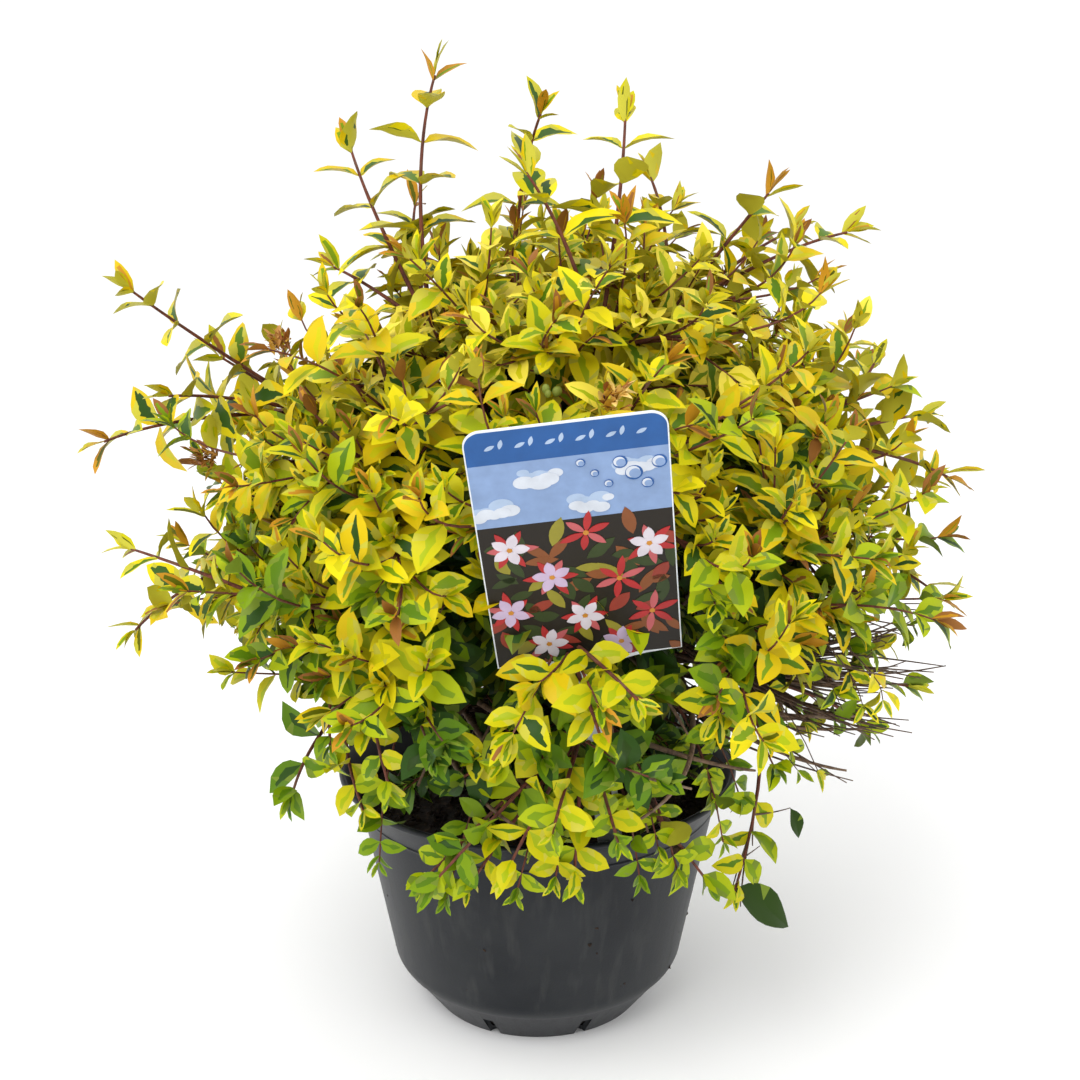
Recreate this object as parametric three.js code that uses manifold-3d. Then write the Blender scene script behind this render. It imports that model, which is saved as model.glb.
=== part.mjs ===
// Potted glossy abelia: a low nursery pot, its soil, six stems, their boughs, and a crown of
// foliage masses that grow from the boughs' tips. Millimetres, +Z up, the pot's foot at Z = 0.
import * as THREE from 'three';
import { mergeVertices } from 'three/addons/utils/BufferGeometryUtils.js';
import Module from 'manifold-3d';

const wasm = await Module();
wasm.setup();

// Clearance between neighbouring pieces, and the detail below which joined solids are smoothed.
const gap = 0.3;
const smallestDetail = 0.02;
const weldDistance = 1e-3;

// The pot: a chamfered foot, a tapering wall, a seam and a flared collar.
const pot = {
  footRadius: 71,
  shoulderRadius: 97,
  shoulderHeight: 33,
  seamRadius: 117.5,
  seamHeight: 141,
  seamStep: 1.2,
  rimRadius: 130,
  rimHeight: 163,
  rimLip: 4,
  lipSlope: 1,
  wall: 2.6,
  floor: 4,
  sides: 32,
};
const drainHoles = { count: 8, radius: 5, height: 7, depth: 30, tilt: -54, sides: 8 };

const soil = { level: 138, dome: 4, domeShare: 0.8, clear: 4 };
const soilTop = soil.level + soil.dome;

// The crown: a dome round a heart, from which every direction is measured. At fullness 2 it
// would be an ellipsoid; above that its shoulders fill out.
const crown = {
  heart: new THREE.Vector3(9, 0, 300),
  halfWidth: 212,
  halfDepth: 202,
  rise: 196,
  drop: 128,
  fullness: 2.5,
};

// Rings of foliage masses, from the top down. Angles are in degrees, azimuth 0 towards +X.
const massRings = [
  { name: 'top', count: 4, elevation: 62, azimuth: 20, sag: 0, leaf: 0xcdbb33 },
  { name: 'upper', count: 6, elevation: 28, azimuth: -15, sag: 0, leaf: 0xc2b42e },
  { name: 'middle', count: 7, elevation: -1, azimuth: 15, sag: 0, leaf: 0xa9ad2c },
  { name: 'lower', count: 5, elevation: -28, azimuth: -10, sag: 16, leaf: 0x7f9a2c },
];
const massPlace = { boughTip: 0.47, centre: 0.72, stemTip: 0.84, pullBack: 0.04 };

// Six stems lean outwards from the soil; their boughs leave them one above another. No two
// lean alike: a wave of its own pace for each sets its reach, its height and its side sway.
const stems = {
  count: 6,
  azimuth: 12,
  footReach: 33,
  tipReach: 43,
  tipHeight: 236,
  reachWave: { share: 0.12, pace: 2.4 },
  heightWave: { size: 6, pace: 3 },
  swayWave: { size: 9, pace: 1.7, start: 1 },
  bow: 7,
  footRadius: 5.6,
  flare: 1.7,
  flareEnd: 0.18,
  tipRadius: 3.9,
  sides: 6,
  steps: 4,
};
const boughs = {
  rootRadius: 3.3,
  tipRadius: 2.3,
  lowest: 0.42,
  highest: 0.86,
  upturn: 0.25,
  bendPlace: 0.45,
  clear: 1.5 * gap,
  sides: 5,
  steps: 4,
};
const oldCane = {
  foot: new THREE.Vector3(34, -50, soilTop + gap),
  bend: new THREE.Vector3(62, -92, 206),
  end: new THREE.Vector3(83, -127, 158),
  footRadius: 4.6,
  endRadius: 3.4,
};
// A limb that stands on the soil starts this share of its bend below, and is cut level.
const belowSoil = 0.1;

// Three-sided twigs leave a mass's stem some way back from their tips, forwards and upwards.
const twigs = {
  stemRadius: 2.4,
  stemTip: 1.7,
  stemBend: 0.4,
  rootRadius: 1.9,
  tipRadius: 1.4,
  leadBack: 0.42,
  leadVary: 0.16,
  firstRoot: 0.12,
  lastRoot: 0.93,
  forward: 0.14,
  arch: 0.04,
  lowArch: 0.14,
  lowBelow: 10,
  clear: 2,
  samples: 20,
  steps: 2,
};
// Leaves are folded blades of eight faces, fewer and larger than life, in opposite pairs.
const leaves = {
  length: 56,
  width: 30,
  fold: 5,
  thickness: 1.6,
  widest: 0.42,
  droop: 0.1,
  spread: 52,
  spreadVary: 24,
  tipSpread: 0.55,
  tipPlace: 0.97,
  crossTurn: 75,
  turnVary: 52,
  lean: 0.5,
  sizeVary: 0.24,
  smaller: 0.76,
  apart: 17,
  clear: 1.5,
  sampleStep: 4,
};
// Where the pairs stand along each kind of twig, and their sizes.
const pairs = {
  massStem: { places: [0.74, 0.985], sizes: [0.9, 0.8] },
  spray: { places: [0.66, 0.985], sizes: [1, 0.86] },
  longShoot: { places: [0.58, 0.8, 0.985], sizes: [0.84, 0.66, 0.42] },
};
// The crown is dense: each mass has a smaller core that its twigs and leaves stand out of.
const cores = { place: 0.71, halfWidth: 62, halfDepth: 29, uneven: 0.22, clear: 2, facets: 0 };
const sprays = { count: 120, lowest: -0.55, depth: 0.86, depthVary: 0.1 };
const seeds = { massStem: 0, core: 50, depth: 101, spray: 200, longShoot: 500 };

// Tips of the long shoots that stand clear of the crown, as the photograph shows them.
const longShoots = [
  [-59, -20, 597], [2, 30, 574], [50, -40, 574], [-6, -70, 545], [-111, 0, 555], [-76, 40, 520],
  [-122, -10, 486], [70, 40, 536], [140, 10, 528], [194, 40, 502], [-243, -20, 474], [-218, -44, 414],
  [-254, -60, 390], [-236, -86, 332], [-246, -50, 270], [-142, -128, 196], [212, 20, 424],
  [242, 10, 392], [247, -40, 364], [252, 0, 280], [236, -20, 222], [216, 4, 184], [-58, -166, 160],
  [-16, -172, 172], [62, -164, 160], [100, -126, 140], [142, -104, 112],
];
// Shoots on the far side, which no view of the photograph shows, are spaced by a rule.
const farShoots = {
  count: 12,
  firstAzimuth: 28,
  lastAzimuth: 170,
  elevations: [48, 12, -14, 30],
  reaches: [1.22, 1.17, 1.12],
};

// The label: a card with round corners on a narrow stake, leaning out over the front.
const label = {
  foot: new THREE.Vector3(45, -90, soilTop),
  head: new THREE.Vector3(13, -226, 437),
  turn: 0.02,
  width: 101,
  height: 160,
  corner: 9,
  cornerSteps: 4,
  stakeWidth: 15,
  buried: 45,
  point: 9,
  shoulder: 14,
  thickness: 1.4,
  clear: 3,
  bareFront: 130,
  bareShare: 0.86,
};

const up = new THREE.Vector3(0, 0, 1);
const degree = Math.PI / 180;

function directionOf(azimuth, elevation) {
  const level = Math.cos(elevation * degree);
  return new THREE.Vector3(
    level * Math.cos(azimuth * degree),
    level * Math.sin(azimuth * degree),
    Math.sin(elevation * degree),
  );
}

// How far the crown's dome reaches from its heart in one direction.
function reachAlong(direction) {
  const high = direction.z > 0 ? crown.rise : crown.drop;
  const shares = [direction.x / crown.halfWidth, direction.y / crown.halfDepth, direction.z / high];
  const sum = shares.reduce((total, share) => total + Math.abs(share) ** crown.fullness, 0);
  return sum ** (-1 / crown.fullness);
}

function crownPoint(direction, share) {
  return crown.heart.clone().addScaledVector(direction, share * reachAlong(direction));
}

// A small repeatable generator: the same seed always gives the same numbers from 0 to 1.
function seededRandom(seed) {
  let state = seed * 7919 + 12345;
  return () => {
    state = (state * 1664525 + 1013904223) % 4294967296;
    return state / 4294967296;
  };
}

function solidFrom(geometry) {
  const bare = geometry.clone();
  bare.deleteAttribute('normal');
  bare.deleteAttribute('uv');
  const merged = mergeVertices(bare, weldDistance);
  return new wasm.Manifold(new wasm.Mesh({
    numProp: 3,
    vertProperties: new Float32Array(merged.attributes.position.array),
    triVerts: new Uint32Array(merged.index.array),
  }));
}

function geometryFrom(solid) {
  const mesh = solid.getMesh();
  const geometry = new THREE.BufferGeometry();
  geometry.setAttribute('position', new THREE.BufferAttribute(mesh.vertProperties.slice(), 3));
  geometry.setIndex(new THREE.BufferAttribute(mesh.triVerts.slice(), 1));
  geometry.computeVertexNormals();
  return geometry;
}

// The largest body of a solid: loose scraps and the walls of sealed hollows are dropped.
function mainBody(solid) {
  const bodies = solid.decompose();
  return bodies.reduce((best, body) => (body.volume() > best.volume() ? body : best));
}

// Closes up the finest slivers of a joined solid, and keeps its largest body.
function settled(solid) {
  const smoothed = mainBody(solid.simplify(smallestDetail));
  return mainBody(solidFrom(geometryFrom(smoothed)).simplify(smallestDetail));
}

function indexedSolid(points, faces) {
  const geometry = new THREE.BufferGeometry();
  geometry.setAttribute('position', new THREE.Float32BufferAttribute(points.flatMap((p) => p.toArray()), 3));
  geometry.setIndex(faces.flat());
  return solidFrom(geometry);
}

// A tapering limb along a curve, with flat ends square to it.
function limbSolid(curve, radiusAt, sides, steps) {
  const frames = curve.computeFrenetFrames(steps, false);
  const points = [];
  for (let step = 0; step <= steps; step += 1) {
    const centre = curve.getPoint(step / steps);
    const radius = radiusAt(step / steps);
    for (let side = 0; side < sides; side += 1) {
      const turn = (2 * Math.PI * side) / sides;
      points.push(centre.clone()
        .addScaledVector(frames.normals[step], radius * Math.cos(turn))
        .addScaledVector(frames.binormals[step], radius * Math.sin(turn)));
    }
  }
  const faces = [];
  for (let step = 0; step < steps; step += 1) {
    for (let side = 0; side < sides; side += 1) {
      const here = step * sides + side;
      const beside = step * sides + ((side + 1) % sides);
      faces.push([here, beside, beside + sides], [here, beside + sides, here + sides]);
    }
  }
  const last = steps * sides;
  for (let side = 1; side < sides - 1; side += 1) {
    faces.push([0, side + 1, side], [last, last + side, last + side + 1]);
  }
  return indexedSolid(points, faces);
}

function taper(start, end) {
  return (along) => start + (end - start) * along;
}

// A limb that stands square on the soil: its lowest stretch is cut level.
function standingLimb(curve, radiusAt) {
  const below = curve.clone();
  below.v0 = curve.v0.clone().lerp(curve.v1, -belowSoil);
  return limbSolid(below, radiusAt, stems.sides, stems.steps).trimByPlane([0, 0, 1], soilTop + gap);
}

// The pot, turned from its half section, with drain holes through the edge of its foot.
const innerShoulder = {
  radius: pot.shoulderRadius - 1.2 * pot.wall,
  height: pot.shoulderHeight + pot.wall / 2,
};

function potProfile() {
  return [
    [0, 0],
    [pot.footRadius, 0],
    [pot.shoulderRadius, pot.shoulderHeight],
    [pot.seamRadius - pot.seamStep, pot.seamHeight - pot.seamStep],
    [pot.seamRadius, pot.seamHeight],
    [pot.rimRadius - pot.rimLip / 2, pot.rimHeight - pot.rimLip],
    [pot.rimRadius, pot.rimHeight - pot.rimLip / 2],
    [pot.rimRadius - pot.rimLip / 3, pot.rimHeight],
    [pot.rimRadius - pot.rimLip, pot.rimHeight - pot.lipSlope],
    [pot.seamRadius - pot.wall, pot.seamHeight - pot.seamStep],
    [innerShoulder.radius, innerShoulder.height],
    [pot.footRadius - pot.wall / 2, pot.floor],
    [0, pot.floor],
  ];
}

function turnedSolid(profile) {
  const outline = profile.map(([radius, height]) => new THREE.Vector2(radius, height));
  return solidFrom(new THREE.LatheGeometry(outline, pot.sides).rotateX(Math.PI / 2));
}

function potSolid() {
  let solid = turnedSolid(potProfile());
  const { count, radius, height, depth, tilt, sides } = drainHoles;
  for (let hole = 0; hole < count; hole += 1) {
    const drill = new THREE.CylinderGeometry(radius, radius, depth, sides);
    drill.rotateZ(tilt * degree);
    drill.translate(pot.footRadius + height / 2, 0, height);
    drill.rotateZ(((hole + 0.5) * 2 * Math.PI) / count);
    solid = solid.subtract(solidFrom(drill));
  }
  return settled(solid);
}

// The soil fills the pot, a little clear of its wall, up to a low dome.
function soilSolid() {
  const wallSlope = (pot.seamRadius - pot.shoulderRadius) / (pot.seamHeight - pot.shoulderHeight);
  const wallAtTop = pot.shoulderRadius + wallSlope * (soil.level - pot.shoulderHeight) - pot.wall;
  const topRadius = wallAtTop - soil.clear * gap;
  return turnedSolid([
    [0, pot.floor + gap],
    [pot.footRadius - pot.wall / 2 - 3 * gap, pot.floor + gap],
    [innerShoulder.radius - 2 * gap, innerShoulder.height],
    [topRadius, soil.level],
    [topRadius * soil.domeShare, soilTop],
    [0, soilTop],
  ]);
}

// The label's own frame: X across the card, Y up it, Z out of its face.
function labelFrame() {
  const rise = label.head.clone().sub(label.foot).normalize();
  const across = rise.clone().cross(new THREE.Vector3(label.turn, -1, 0)).normalize();
  const face = across.clone().cross(rise);
  return new THREE.Matrix4().makeBasis(across, rise, face).setPosition(label.foot);
}

const labelPlace = labelFrame();
const labelInverse = labelPlace.clone().invert();
const labelTop = label.head.distanceTo(label.foot);
const labelBottom = labelTop - label.height;

function labelShape() {
  const half = label.width / 2;
  const stake = label.stakeWidth / 2;
  const roundFrom = half - label.corner;
  const roundTop = labelTop - label.corner;
  const shape = new THREE.Shape();
  shape.moveTo(0, -label.buried);
  shape.lineTo(stake, label.point - label.buried);
  shape.lineTo(stake, labelBottom - label.shoulder);
  shape.quadraticCurveTo(stake, labelBottom, half, labelBottom);
  shape.lineTo(half, roundTop);
  shape.absarc(roundFrom, roundTop, label.corner, 0, Math.PI / 2);
  shape.lineTo(-roundFrom, labelTop);
  shape.absarc(-roundFrom, roundTop, label.corner, Math.PI / 2, Math.PI);
  shape.lineTo(-half, labelBottom);
  shape.quadraticCurveTo(-stake, labelBottom, -stake, labelBottom - label.shoulder);
  shape.lineTo(-stake, label.point - label.buried);
  return shape;
}

function labelSolid() {
  const sheet = new THREE.ExtrudeGeometry(labelShape(), {
    depth: label.thickness,
    bevelEnabled: false,
    curveSegments: label.cornerSteps,
  });
  return solidFrom(sheet.applyMatrix4(labelPlace));
}

// A block in the label's own frame, given by its two far corners.
function labelBlock(width, bottom, top, back, front) {
  const block = new THREE.BoxGeometry(width, top - bottom, front - back);
  block.translate(0, (top + bottom) / 2, (front + back) / 2);
  return solidFrom(block.applyMatrix4(labelPlace));
}

// The slot that the label's stake has pushed into the soil.
function stakeSlot() {
  const width = label.stakeWidth + 2 * gap;
  return labelBlock(width, -label.buried - gap, label.point, -gap, label.thickness + gap);
}

// The room in front of the label, and close behind it, that no core fills.
function labelRoom() {
  const spare = cores.clear;
  const cardFoot = labelBottom - label.shoulder - spare;
  const card = labelBlock(label.width + 2 * spare, cardFoot, labelTop + spare, -spare, label.bareFront);
  const stake = labelBlock(label.stakeWidth + 2 * spare, 0, labelTop, -spare, label.thickness + spare);
  return card.add(stake);
}

// Limbs that twigs and leaves keep clear of, each as points with a radius.
const limbPoints = [];

function rememberLimb(curve, radiusAt) {
  const count = Math.ceil(curve.getLength() / leaves.sampleStep);
  for (let k = 0; k <= count; k += 1) {
    limbPoints.push({ point: curve.getPoint(k / count), radius: radiusAt(k / count) });
  }
}

function stemCurve(index) {
  const azimuth = stems.azimuth + (360 * index) / stems.count;
  const outward = directionOf(azimuth, 0);
  const sideways = directionOf(azimuth + 90, 0);
  const { reachWave, heightWave, swayWave } = stems;
  const uneven = reachWave.share * Math.sin(reachWave.pace * index);
  const foot = outward.clone().multiplyScalar(stems.footReach * (1 - uneven));
  const tip = outward.clone().multiplyScalar(stems.tipReach * (1 + uneven));
  foot.z = soilTop + gap;
  tip.z = stems.tipHeight + heightWave.size * Math.cos(heightWave.pace * index);
  const bend = foot.clone().lerp(tip, 0.5).addScaledVector(outward, -stems.bow);
  bend.addScaledVector(sideways, swayWave.size * Math.sin(swayWave.pace * index + swayWave.start));
  return new THREE.QuadraticBezierCurve3(foot, bend, tip);
}

function stemRadius(along) {
  const flare = 1 + (stems.flare - 1) * Math.max(0, 1 - along / stems.flareEnd) ** 2;
  return taper(stems.footRadius, stems.tipRadius)(along) * flare;
}

function stemSolid(curve, spare = 0) {
  return standingLimb(curve, (along) => stemRadius(along) + spare);
}

// Each mass of foliage has a direction, a centre that sets its space, and a stem to grow from.
function planMasses() {
  const masses = [];
  for (const ring of massRings) {
    for (let k = 0; k < ring.count; k += 1) {
      const azimuth = ring.azimuth + (360 * k) / ring.count;
      const direction = directionOf(azimuth, ring.elevation);
      masses.push({
        ring,
        azimuth,
        direction,
        name: `${ring.name}_${k + 1}`,
        number: masses.length + 1,
        centre: crownPoint(direction, massPlace.centre),
        boughTip: crownPoint(direction, massPlace.boughTip).addScaledVector(up, -ring.sag),
      });
    }
  }
  return masses;
}

// A bough leaves its stem part way up, or carries on from its tip, and bends towards its mass.
function boughCurve(stem, along, tip) {
  const carriesOn = along === 1;
  const root = stem.getPoint(along);
  const heading = stem.getTangent(along);
  const span = root.distanceTo(tip);
  const outward = tip.clone().sub(root).normalize();
  if (carriesOn) {
    root.addScaledVector(heading, gap);
  }
  const turn = carriesOn ? heading : outward.lerp(heading, boughs.upturn).normalize();
  const bend = root.clone().addScaledVector(turn, span * boughs.bendPlace);
  return new THREE.QuadraticBezierCurve3(root, bend, tip);
}

// Boughs are dealt to the stem that stands nearest, the lowest mass to the lowest place.
function planBoughs(masses) {
  const curves = Array.from({ length: stems.count }, (_, index) => stemCurve(index));
  const carried = curves.map(() => []);
  for (const mass of masses) {
    const angle = (mass.azimuth - stems.azimuth) / (360 / stems.count);
    mass.stem = ((Math.round(angle) % stems.count) + stems.count) % stems.count;
    carried[mass.stem].push(mass);
  }
  carried.forEach((carriedMasses, index) => {
    carriedMasses.sort((a, b) => a.ring.elevation - b.ring.elevation);
    const last = carriedMasses.length - 1;
    carriedMasses.forEach((mass, rank) => {
      const along = rank === last ? 1 : taper(boughs.lowest, boughs.highest)(rank / last);
      mass.bough = boughCurve(curves[index], along, mass.boughTip);
    });
  });
  return curves;
}

function boughBody(mass, spare = 0) {
  const radiusAt = taper(boughs.rootRadius + spare, boughs.tipRadius + spare);
  return limbSolid(mass.bough, radiusAt, boughs.sides, boughs.steps);
}

// A bough starts at its stem's bark, and is notched where an earlier bough passes close by.
function boughSolid(mass, stemCurves, earlier) {
  let body = boughBody(mass).subtract(stemSolid(stemCurves[mass.stem], boughs.clear));
  for (const other of earlier) {
    body = body.subtract(boughBody(other, boughs.clear));
  }
  return settled(body);
}

// A point lies in a mass's space where it is nearer that mass's centre than any other's.
function insideSpace(point, mass, masses) {
  return masses.every((other) => {
    if (other === mass) {
      return true;
    }
    const across = other.centre.clone().sub(mass.centre);
    const middle = mass.centre.clone().add(other.centre).multiplyScalar(0.5);
    return point.clone().sub(middle).dot(across) / across.length() < -gap;
  });
}

function clearOfLimbs(point, spare) {
  return limbPoints.every((limb) => point.distanceTo(limb.point) > limb.radius + spare + twigs.clear);
}

function clearOfPot(point, spare) {
  const radius = Math.hypot(point.x, point.y);
  const aboveRim = point.z > pot.rimHeight + spare;
  const outside = radius > pot.rimRadius + spare;
  const aboveSoil = radius < pot.seamRadius - pot.wall - spare && point.z > soilTop + spare;
  return aboveRim || outside || aboveSoil;
}

// Nothing grows through the label, nor hides its face above its lowest edge.
function clearOfLabel(point, spare) {
  const local = point.clone().applyMatrix4(labelInverse);
  const onCard = local.y > labelBottom - label.shoulder - spare;
  const halfWidth = (onCard ? label.width : label.stakeWidth) / 2 + spare;
  if (Math.abs(local.x) > halfWidth || local.y > labelTop + spare || local.y < -spare) {
    return true;
  }
  const onBareFace = local.y > labelTop - label.height * label.bareShare;
  const front = onBareFace ? label.bareFront : label.thickness + spare;
  return local.z > front || local.z < -spare;
}

function isClear(point, spare) {
  return clearOfLimbs(point, spare) && clearOfPot(point, spare) && clearOfLabel(point, spare);
}

// Points over a leaf, along the lines between its corners.
function pointsOver(corners) {
  const points = [];
  corners.forEach((corner, index) => {
    for (const other of corners.slice(index + 1)) {
      const count = Math.ceil(corner.distanceTo(other) / leaves.sampleStep);
      for (let k = 0; k <= count; k += 1) {
        points.push(corner.clone().lerp(other, k / count));
      }
    }
  });
  return points;
}

// Points along the straight stretches that a twig's solid is made of.
function pointsAlong(curve) {
  const joints = curve.getPoints(twigs.steps);
  const points = [];
  joints.slice(1).forEach((joint, index) => {
    for (let k = 0; k <= twigs.samples; k += 1) {
      points.push(joints[index].clone().lerp(joint, k / twigs.samples));
    }
  });
  return points;
}

function twigFits(curve, mass, masses) {
  return pointsAlong(curve).every((point) => insideSpace(point, mass, masses) && isClear(point, twigs.clear));
}

// A folded, pointed blade: root, tip, two raised edges, and the midrib's upper and lower points.
function leafCorners(root, axis, face, size) {
  const side = axis.clone().cross(face).normalize();
  const normal = side.clone().cross(axis).normalize();
  const length = leaves.length * size;
  const half = (leaves.width * size) / 2;
  const at = (along, across, lift) => root.clone()
    .addScaledVector(axis, along * length)
    .addScaledVector(side, across)
    .addScaledVector(normal, lift);
  return [
    root,
    at(1, 0, -leaves.droop * length),
    at(leaves.widest, half, leaves.fold * size),
    at(leaves.widest, -half, leaves.fold * size),
    at(leaves.widest, 0, leaves.thickness / 2),
    at(leaves.widest, 0, -leaves.thickness / 2),
  ];
}

const leafFaces = [
  [0, 2, 4], [2, 1, 4], [4, 3, 0], [4, 1, 3],
  [0, 5, 2], [2, 5, 1], [0, 3, 5], [5, 3, 1],
];

// Leaves that would leave the mass's space, crowd another leaf or touch something are tried
// smaller, then skipped.
const leafPlaces = [];

function leafSolid(root, axis, face, size, mass, masses) {
  for (const share of [1, leaves.smaller]) {
    const corners = leafCorners(root, axis, face, size * share);
    const middle = corners[4];
    const fits = corners.every((corner) => insideSpace(corner, mass, masses))
      && leafPlaces.every((place) => place.distanceTo(middle) > leaves.apart)
      && pointsOver(corners).every((point) => isClear(point, leaves.clear));
    if (fits) {
      leafPlaces.push(middle);
      return indexedSolid(corners, leafFaces);
    }
  }
  return null;
}

// Opposite pairs stand crosswise in turn along a twig and turn their faces to the light.
function dressTwig(curve, kind, random, mass, masses) {
  const blades = [];
  kind.places.forEach((place, pair) => {
    const root = curve.getPoint(place);
    const heading = curve.getTangent(place);
    const light = root.clone().sub(crown.heart).normalize().add(up).normalize();
    const side = heading.clone().cross(light).normalize();
    const rise = side.clone().cross(heading).normalize();
    const roll = ((pair % 2) * leaves.crossTurn + (random() - 0.5) * leaves.turnVary) * degree;
    const open = place > leaves.tipPlace ? leaves.tipSpread : 1;
    const spread = open * (leaves.spread + (random() - 0.5) * leaves.spreadVary) * degree;
    for (const way of [-1, 1]) {
      const outward = side.clone().multiplyScalar(Math.cos(roll) * way)
        .addScaledVector(rise, Math.sin(roll) * way);
      const axis = heading.clone().multiplyScalar(Math.cos(spread))
        .addScaledVector(outward, Math.sin(spread)).normalize();
      const face = light.clone().addScaledVector(heading, leaves.lean);
      const size = kind.sizes[pair] * (1 + (random() - 0.5) * leaves.sizeVary);
      const blade = leafSolid(root, axis, face, size, mass, masses);
      if (blade) {
        blades.push(blade);
      }
    }
  });
  return blades;
}

// A twig leaves the mass's stem below its target and arches out to it, inside the mass's space.
function twigCurve(stem, target, random, mass, masses) {
  const start = stem.getPoint(0);
  const axis = stem.getPoint(1).sub(start);
  const share = target.clone().sub(start).dot(axis) / axis.lengthSq();
  const lead = twigs.leadBack - twigs.leadVary * random();
  const along = Math.min(twigs.lastRoot, Math.max(twigs.firstRoot, share - lead));
  const root = stem.getPoint(along);
  const span = root.distanceTo(target);
  const middle = root.clone().lerp(target, 0.5);
  const arch = mass.ring.elevation < twigs.lowBelow ? twigs.lowArch : twigs.arch;
  const bend = middle.clone()
    .addScaledVector(stem.getTangent(along), twigs.forward * span)
    .addScaledVector(up, arch * span);
  while (!insideSpace(bend, mass, masses) && bend.distanceTo(middle) > 1) {
    bend.lerp(middle, 0.5);
  }
  return new THREE.QuadraticBezierCurve3(root, bend, target);
}

// Evenly spread places over the dome, each the end of one leafy twig.
function sprayTargets() {
  const random = seededRandom(seeds.depth);
  const goldenTurn = 180 * (3 - Math.sqrt(5));
  const targets = [];
  for (let k = 0; k < sprays.count; k += 1) {
    const sine = 1 - ((k + 0.5) / sprays.count) * (1 - sprays.lowest);
    const direction = directionOf(k * goldenTurn, Math.asin(sine) / degree);
    const place = crownPoint(direction, sprays.depth + sprays.depthVary * random());
    targets.push({ place, kind: pairs.spray, seed: seeds.spray + k });
  }
  return targets;
}

function shootTargets() {
  const places = longShoots.map((place) => new THREE.Vector3(...place));
  for (let k = 0; k < farShoots.count; k += 1) {
    const azimuth = taper(farShoots.firstAzimuth, farShoots.lastAzimuth)(k / (farShoots.count - 1));
    const elevation = farShoots.elevations[k % farShoots.elevations.length];
    const reach = farShoots.reaches[k % farShoots.reaches.length];
    places.push(crownPoint(directionOf(azimuth, elevation), reach));
  }
  return places.map((place, k) => ({ place, kind: pairs.longShoot, seed: seeds.longShoot + k }));
}

function nearestMass(point, masses) {
  return masses.reduce((best, mass) => (
    point.distanceTo(mass.centre) < point.distanceTo(best.centre) ? mass : best));
}

// A mass's stem carries on from its bough, and ends early where it would meet the label.
function massStem(mass) {
  const heading = mass.bough.getTangent(1);
  const start = mass.boughTip.clone().addScaledVector(heading, gap);
  for (let share = massPlace.stemTip; share > massPlace.boughTip; share -= massPlace.pullBack) {
    const end = crownPoint(mass.direction, share);
    const bend = start.clone().addScaledVector(heading, twigs.stemBend * start.distanceTo(end));
    const stem = new THREE.QuadraticBezierCurve3(start, bend, end);
    const isBlocked = (point) => !clearOfLabel(point, label.clear) || !clearOfPot(point, label.clear);
    if (!pointsAlong(stem).some(isBlocked)) {
      return stem;
    }
  }
  throw new Error(`${mass.name} has no room for its stem`);
}

// A lumpy blob, cut to the mass's space and clear of every limb and of the label.
function coreSolid(mass, masses) {
  const random = seededRandom(seeds.core + mass.number);
  const blob = new THREE.IcosahedronGeometry(1, cores.facets);
  blob.deleteAttribute('normal');
  blob.deleteAttribute('uv');
  const lumpy = mergeVertices(blob);
  const places = lumpy.attributes.position;
  for (let k = 0; k < places.count; k += 1) {
    const size = 1 + cores.uneven * (random() - 0.5);
    places.setXYZ(k, places.getX(k) * size, places.getY(k) * size, places.getZ(k) * size);
  }
  lumpy.scale(cores.halfWidth, cores.halfWidth, cores.halfDepth);
  lumpy.applyQuaternion(new THREE.Quaternion().setFromUnitVectors(up, mass.direction));
  lumpy.translate(...crownPoint(mass.direction, cores.place).toArray());
  let body = solidFrom(lumpy);
  for (const other of masses) {
    body = body.subtract(boughBody(other, cores.clear));
    if (other !== mass) {
      const inward = mass.centre.clone().sub(other.centre).normalize();
      const middle = mass.centre.clone().add(other.centre).multiplyScalar(0.5);
      body = body.trimByPlane(inward.toArray(), middle.dot(inward) + 2 * gap);
    }
  }
  return mainBody(body.subtract(labelRoom()));
}

// One mass: its stem and core, and a dressed twig to each target where one fits.
function massSolid(mass, masses, targets) {
  const stem = massStem(mass);
  const pieces = [
    limbSolid(stem, taper(twigs.stemRadius, twigs.stemTip), 3, twigs.steps),
    coreSolid(mass, masses),
    ...dressTwig(stem, pairs.massStem, seededRandom(seeds.massStem + mass.number), mass, masses),
  ];
  for (const target of targets) {
    const random = seededRandom(target.seed);
    const curve = twigCurve(stem, target.place, random, mass, masses);
    if (twigFits(curve, mass, masses)) {
      pieces.push(limbSolid(curve, taper(twigs.rootRadius, twigs.tipRadius), 3, twigs.steps));
      pieces.push(...dressTwig(curve, target.kind, random, mass, masses));
    }
  }
  return settled(wasm.Manifold.union(pieces));
}

const materials = {
  pot: new THREE.MeshStandardMaterial({ color: 0x3a3e44, roughness: 0.5 }),
  soil: new THREE.MeshStandardMaterial({ color: 0x2e221a, roughness: 0.95 }),
  label: new THREE.MeshStandardMaterial({ color: 0x7da3cf, roughness: 0.35 }),
  bark: new THREE.MeshStandardMaterial({ color: 0x5a3d2d, roughness: 0.85 }),
  youngBark: new THREE.MeshStandardMaterial({ color: 0x74452f, roughness: 0.75 }),
};

const group = new THREE.Group();

function addPiece(name, solid, material) {
  const mesh = new THREE.Mesh(geometryFrom(solid), material);
  mesh.name = name;
  group.add(mesh);
}

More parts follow.
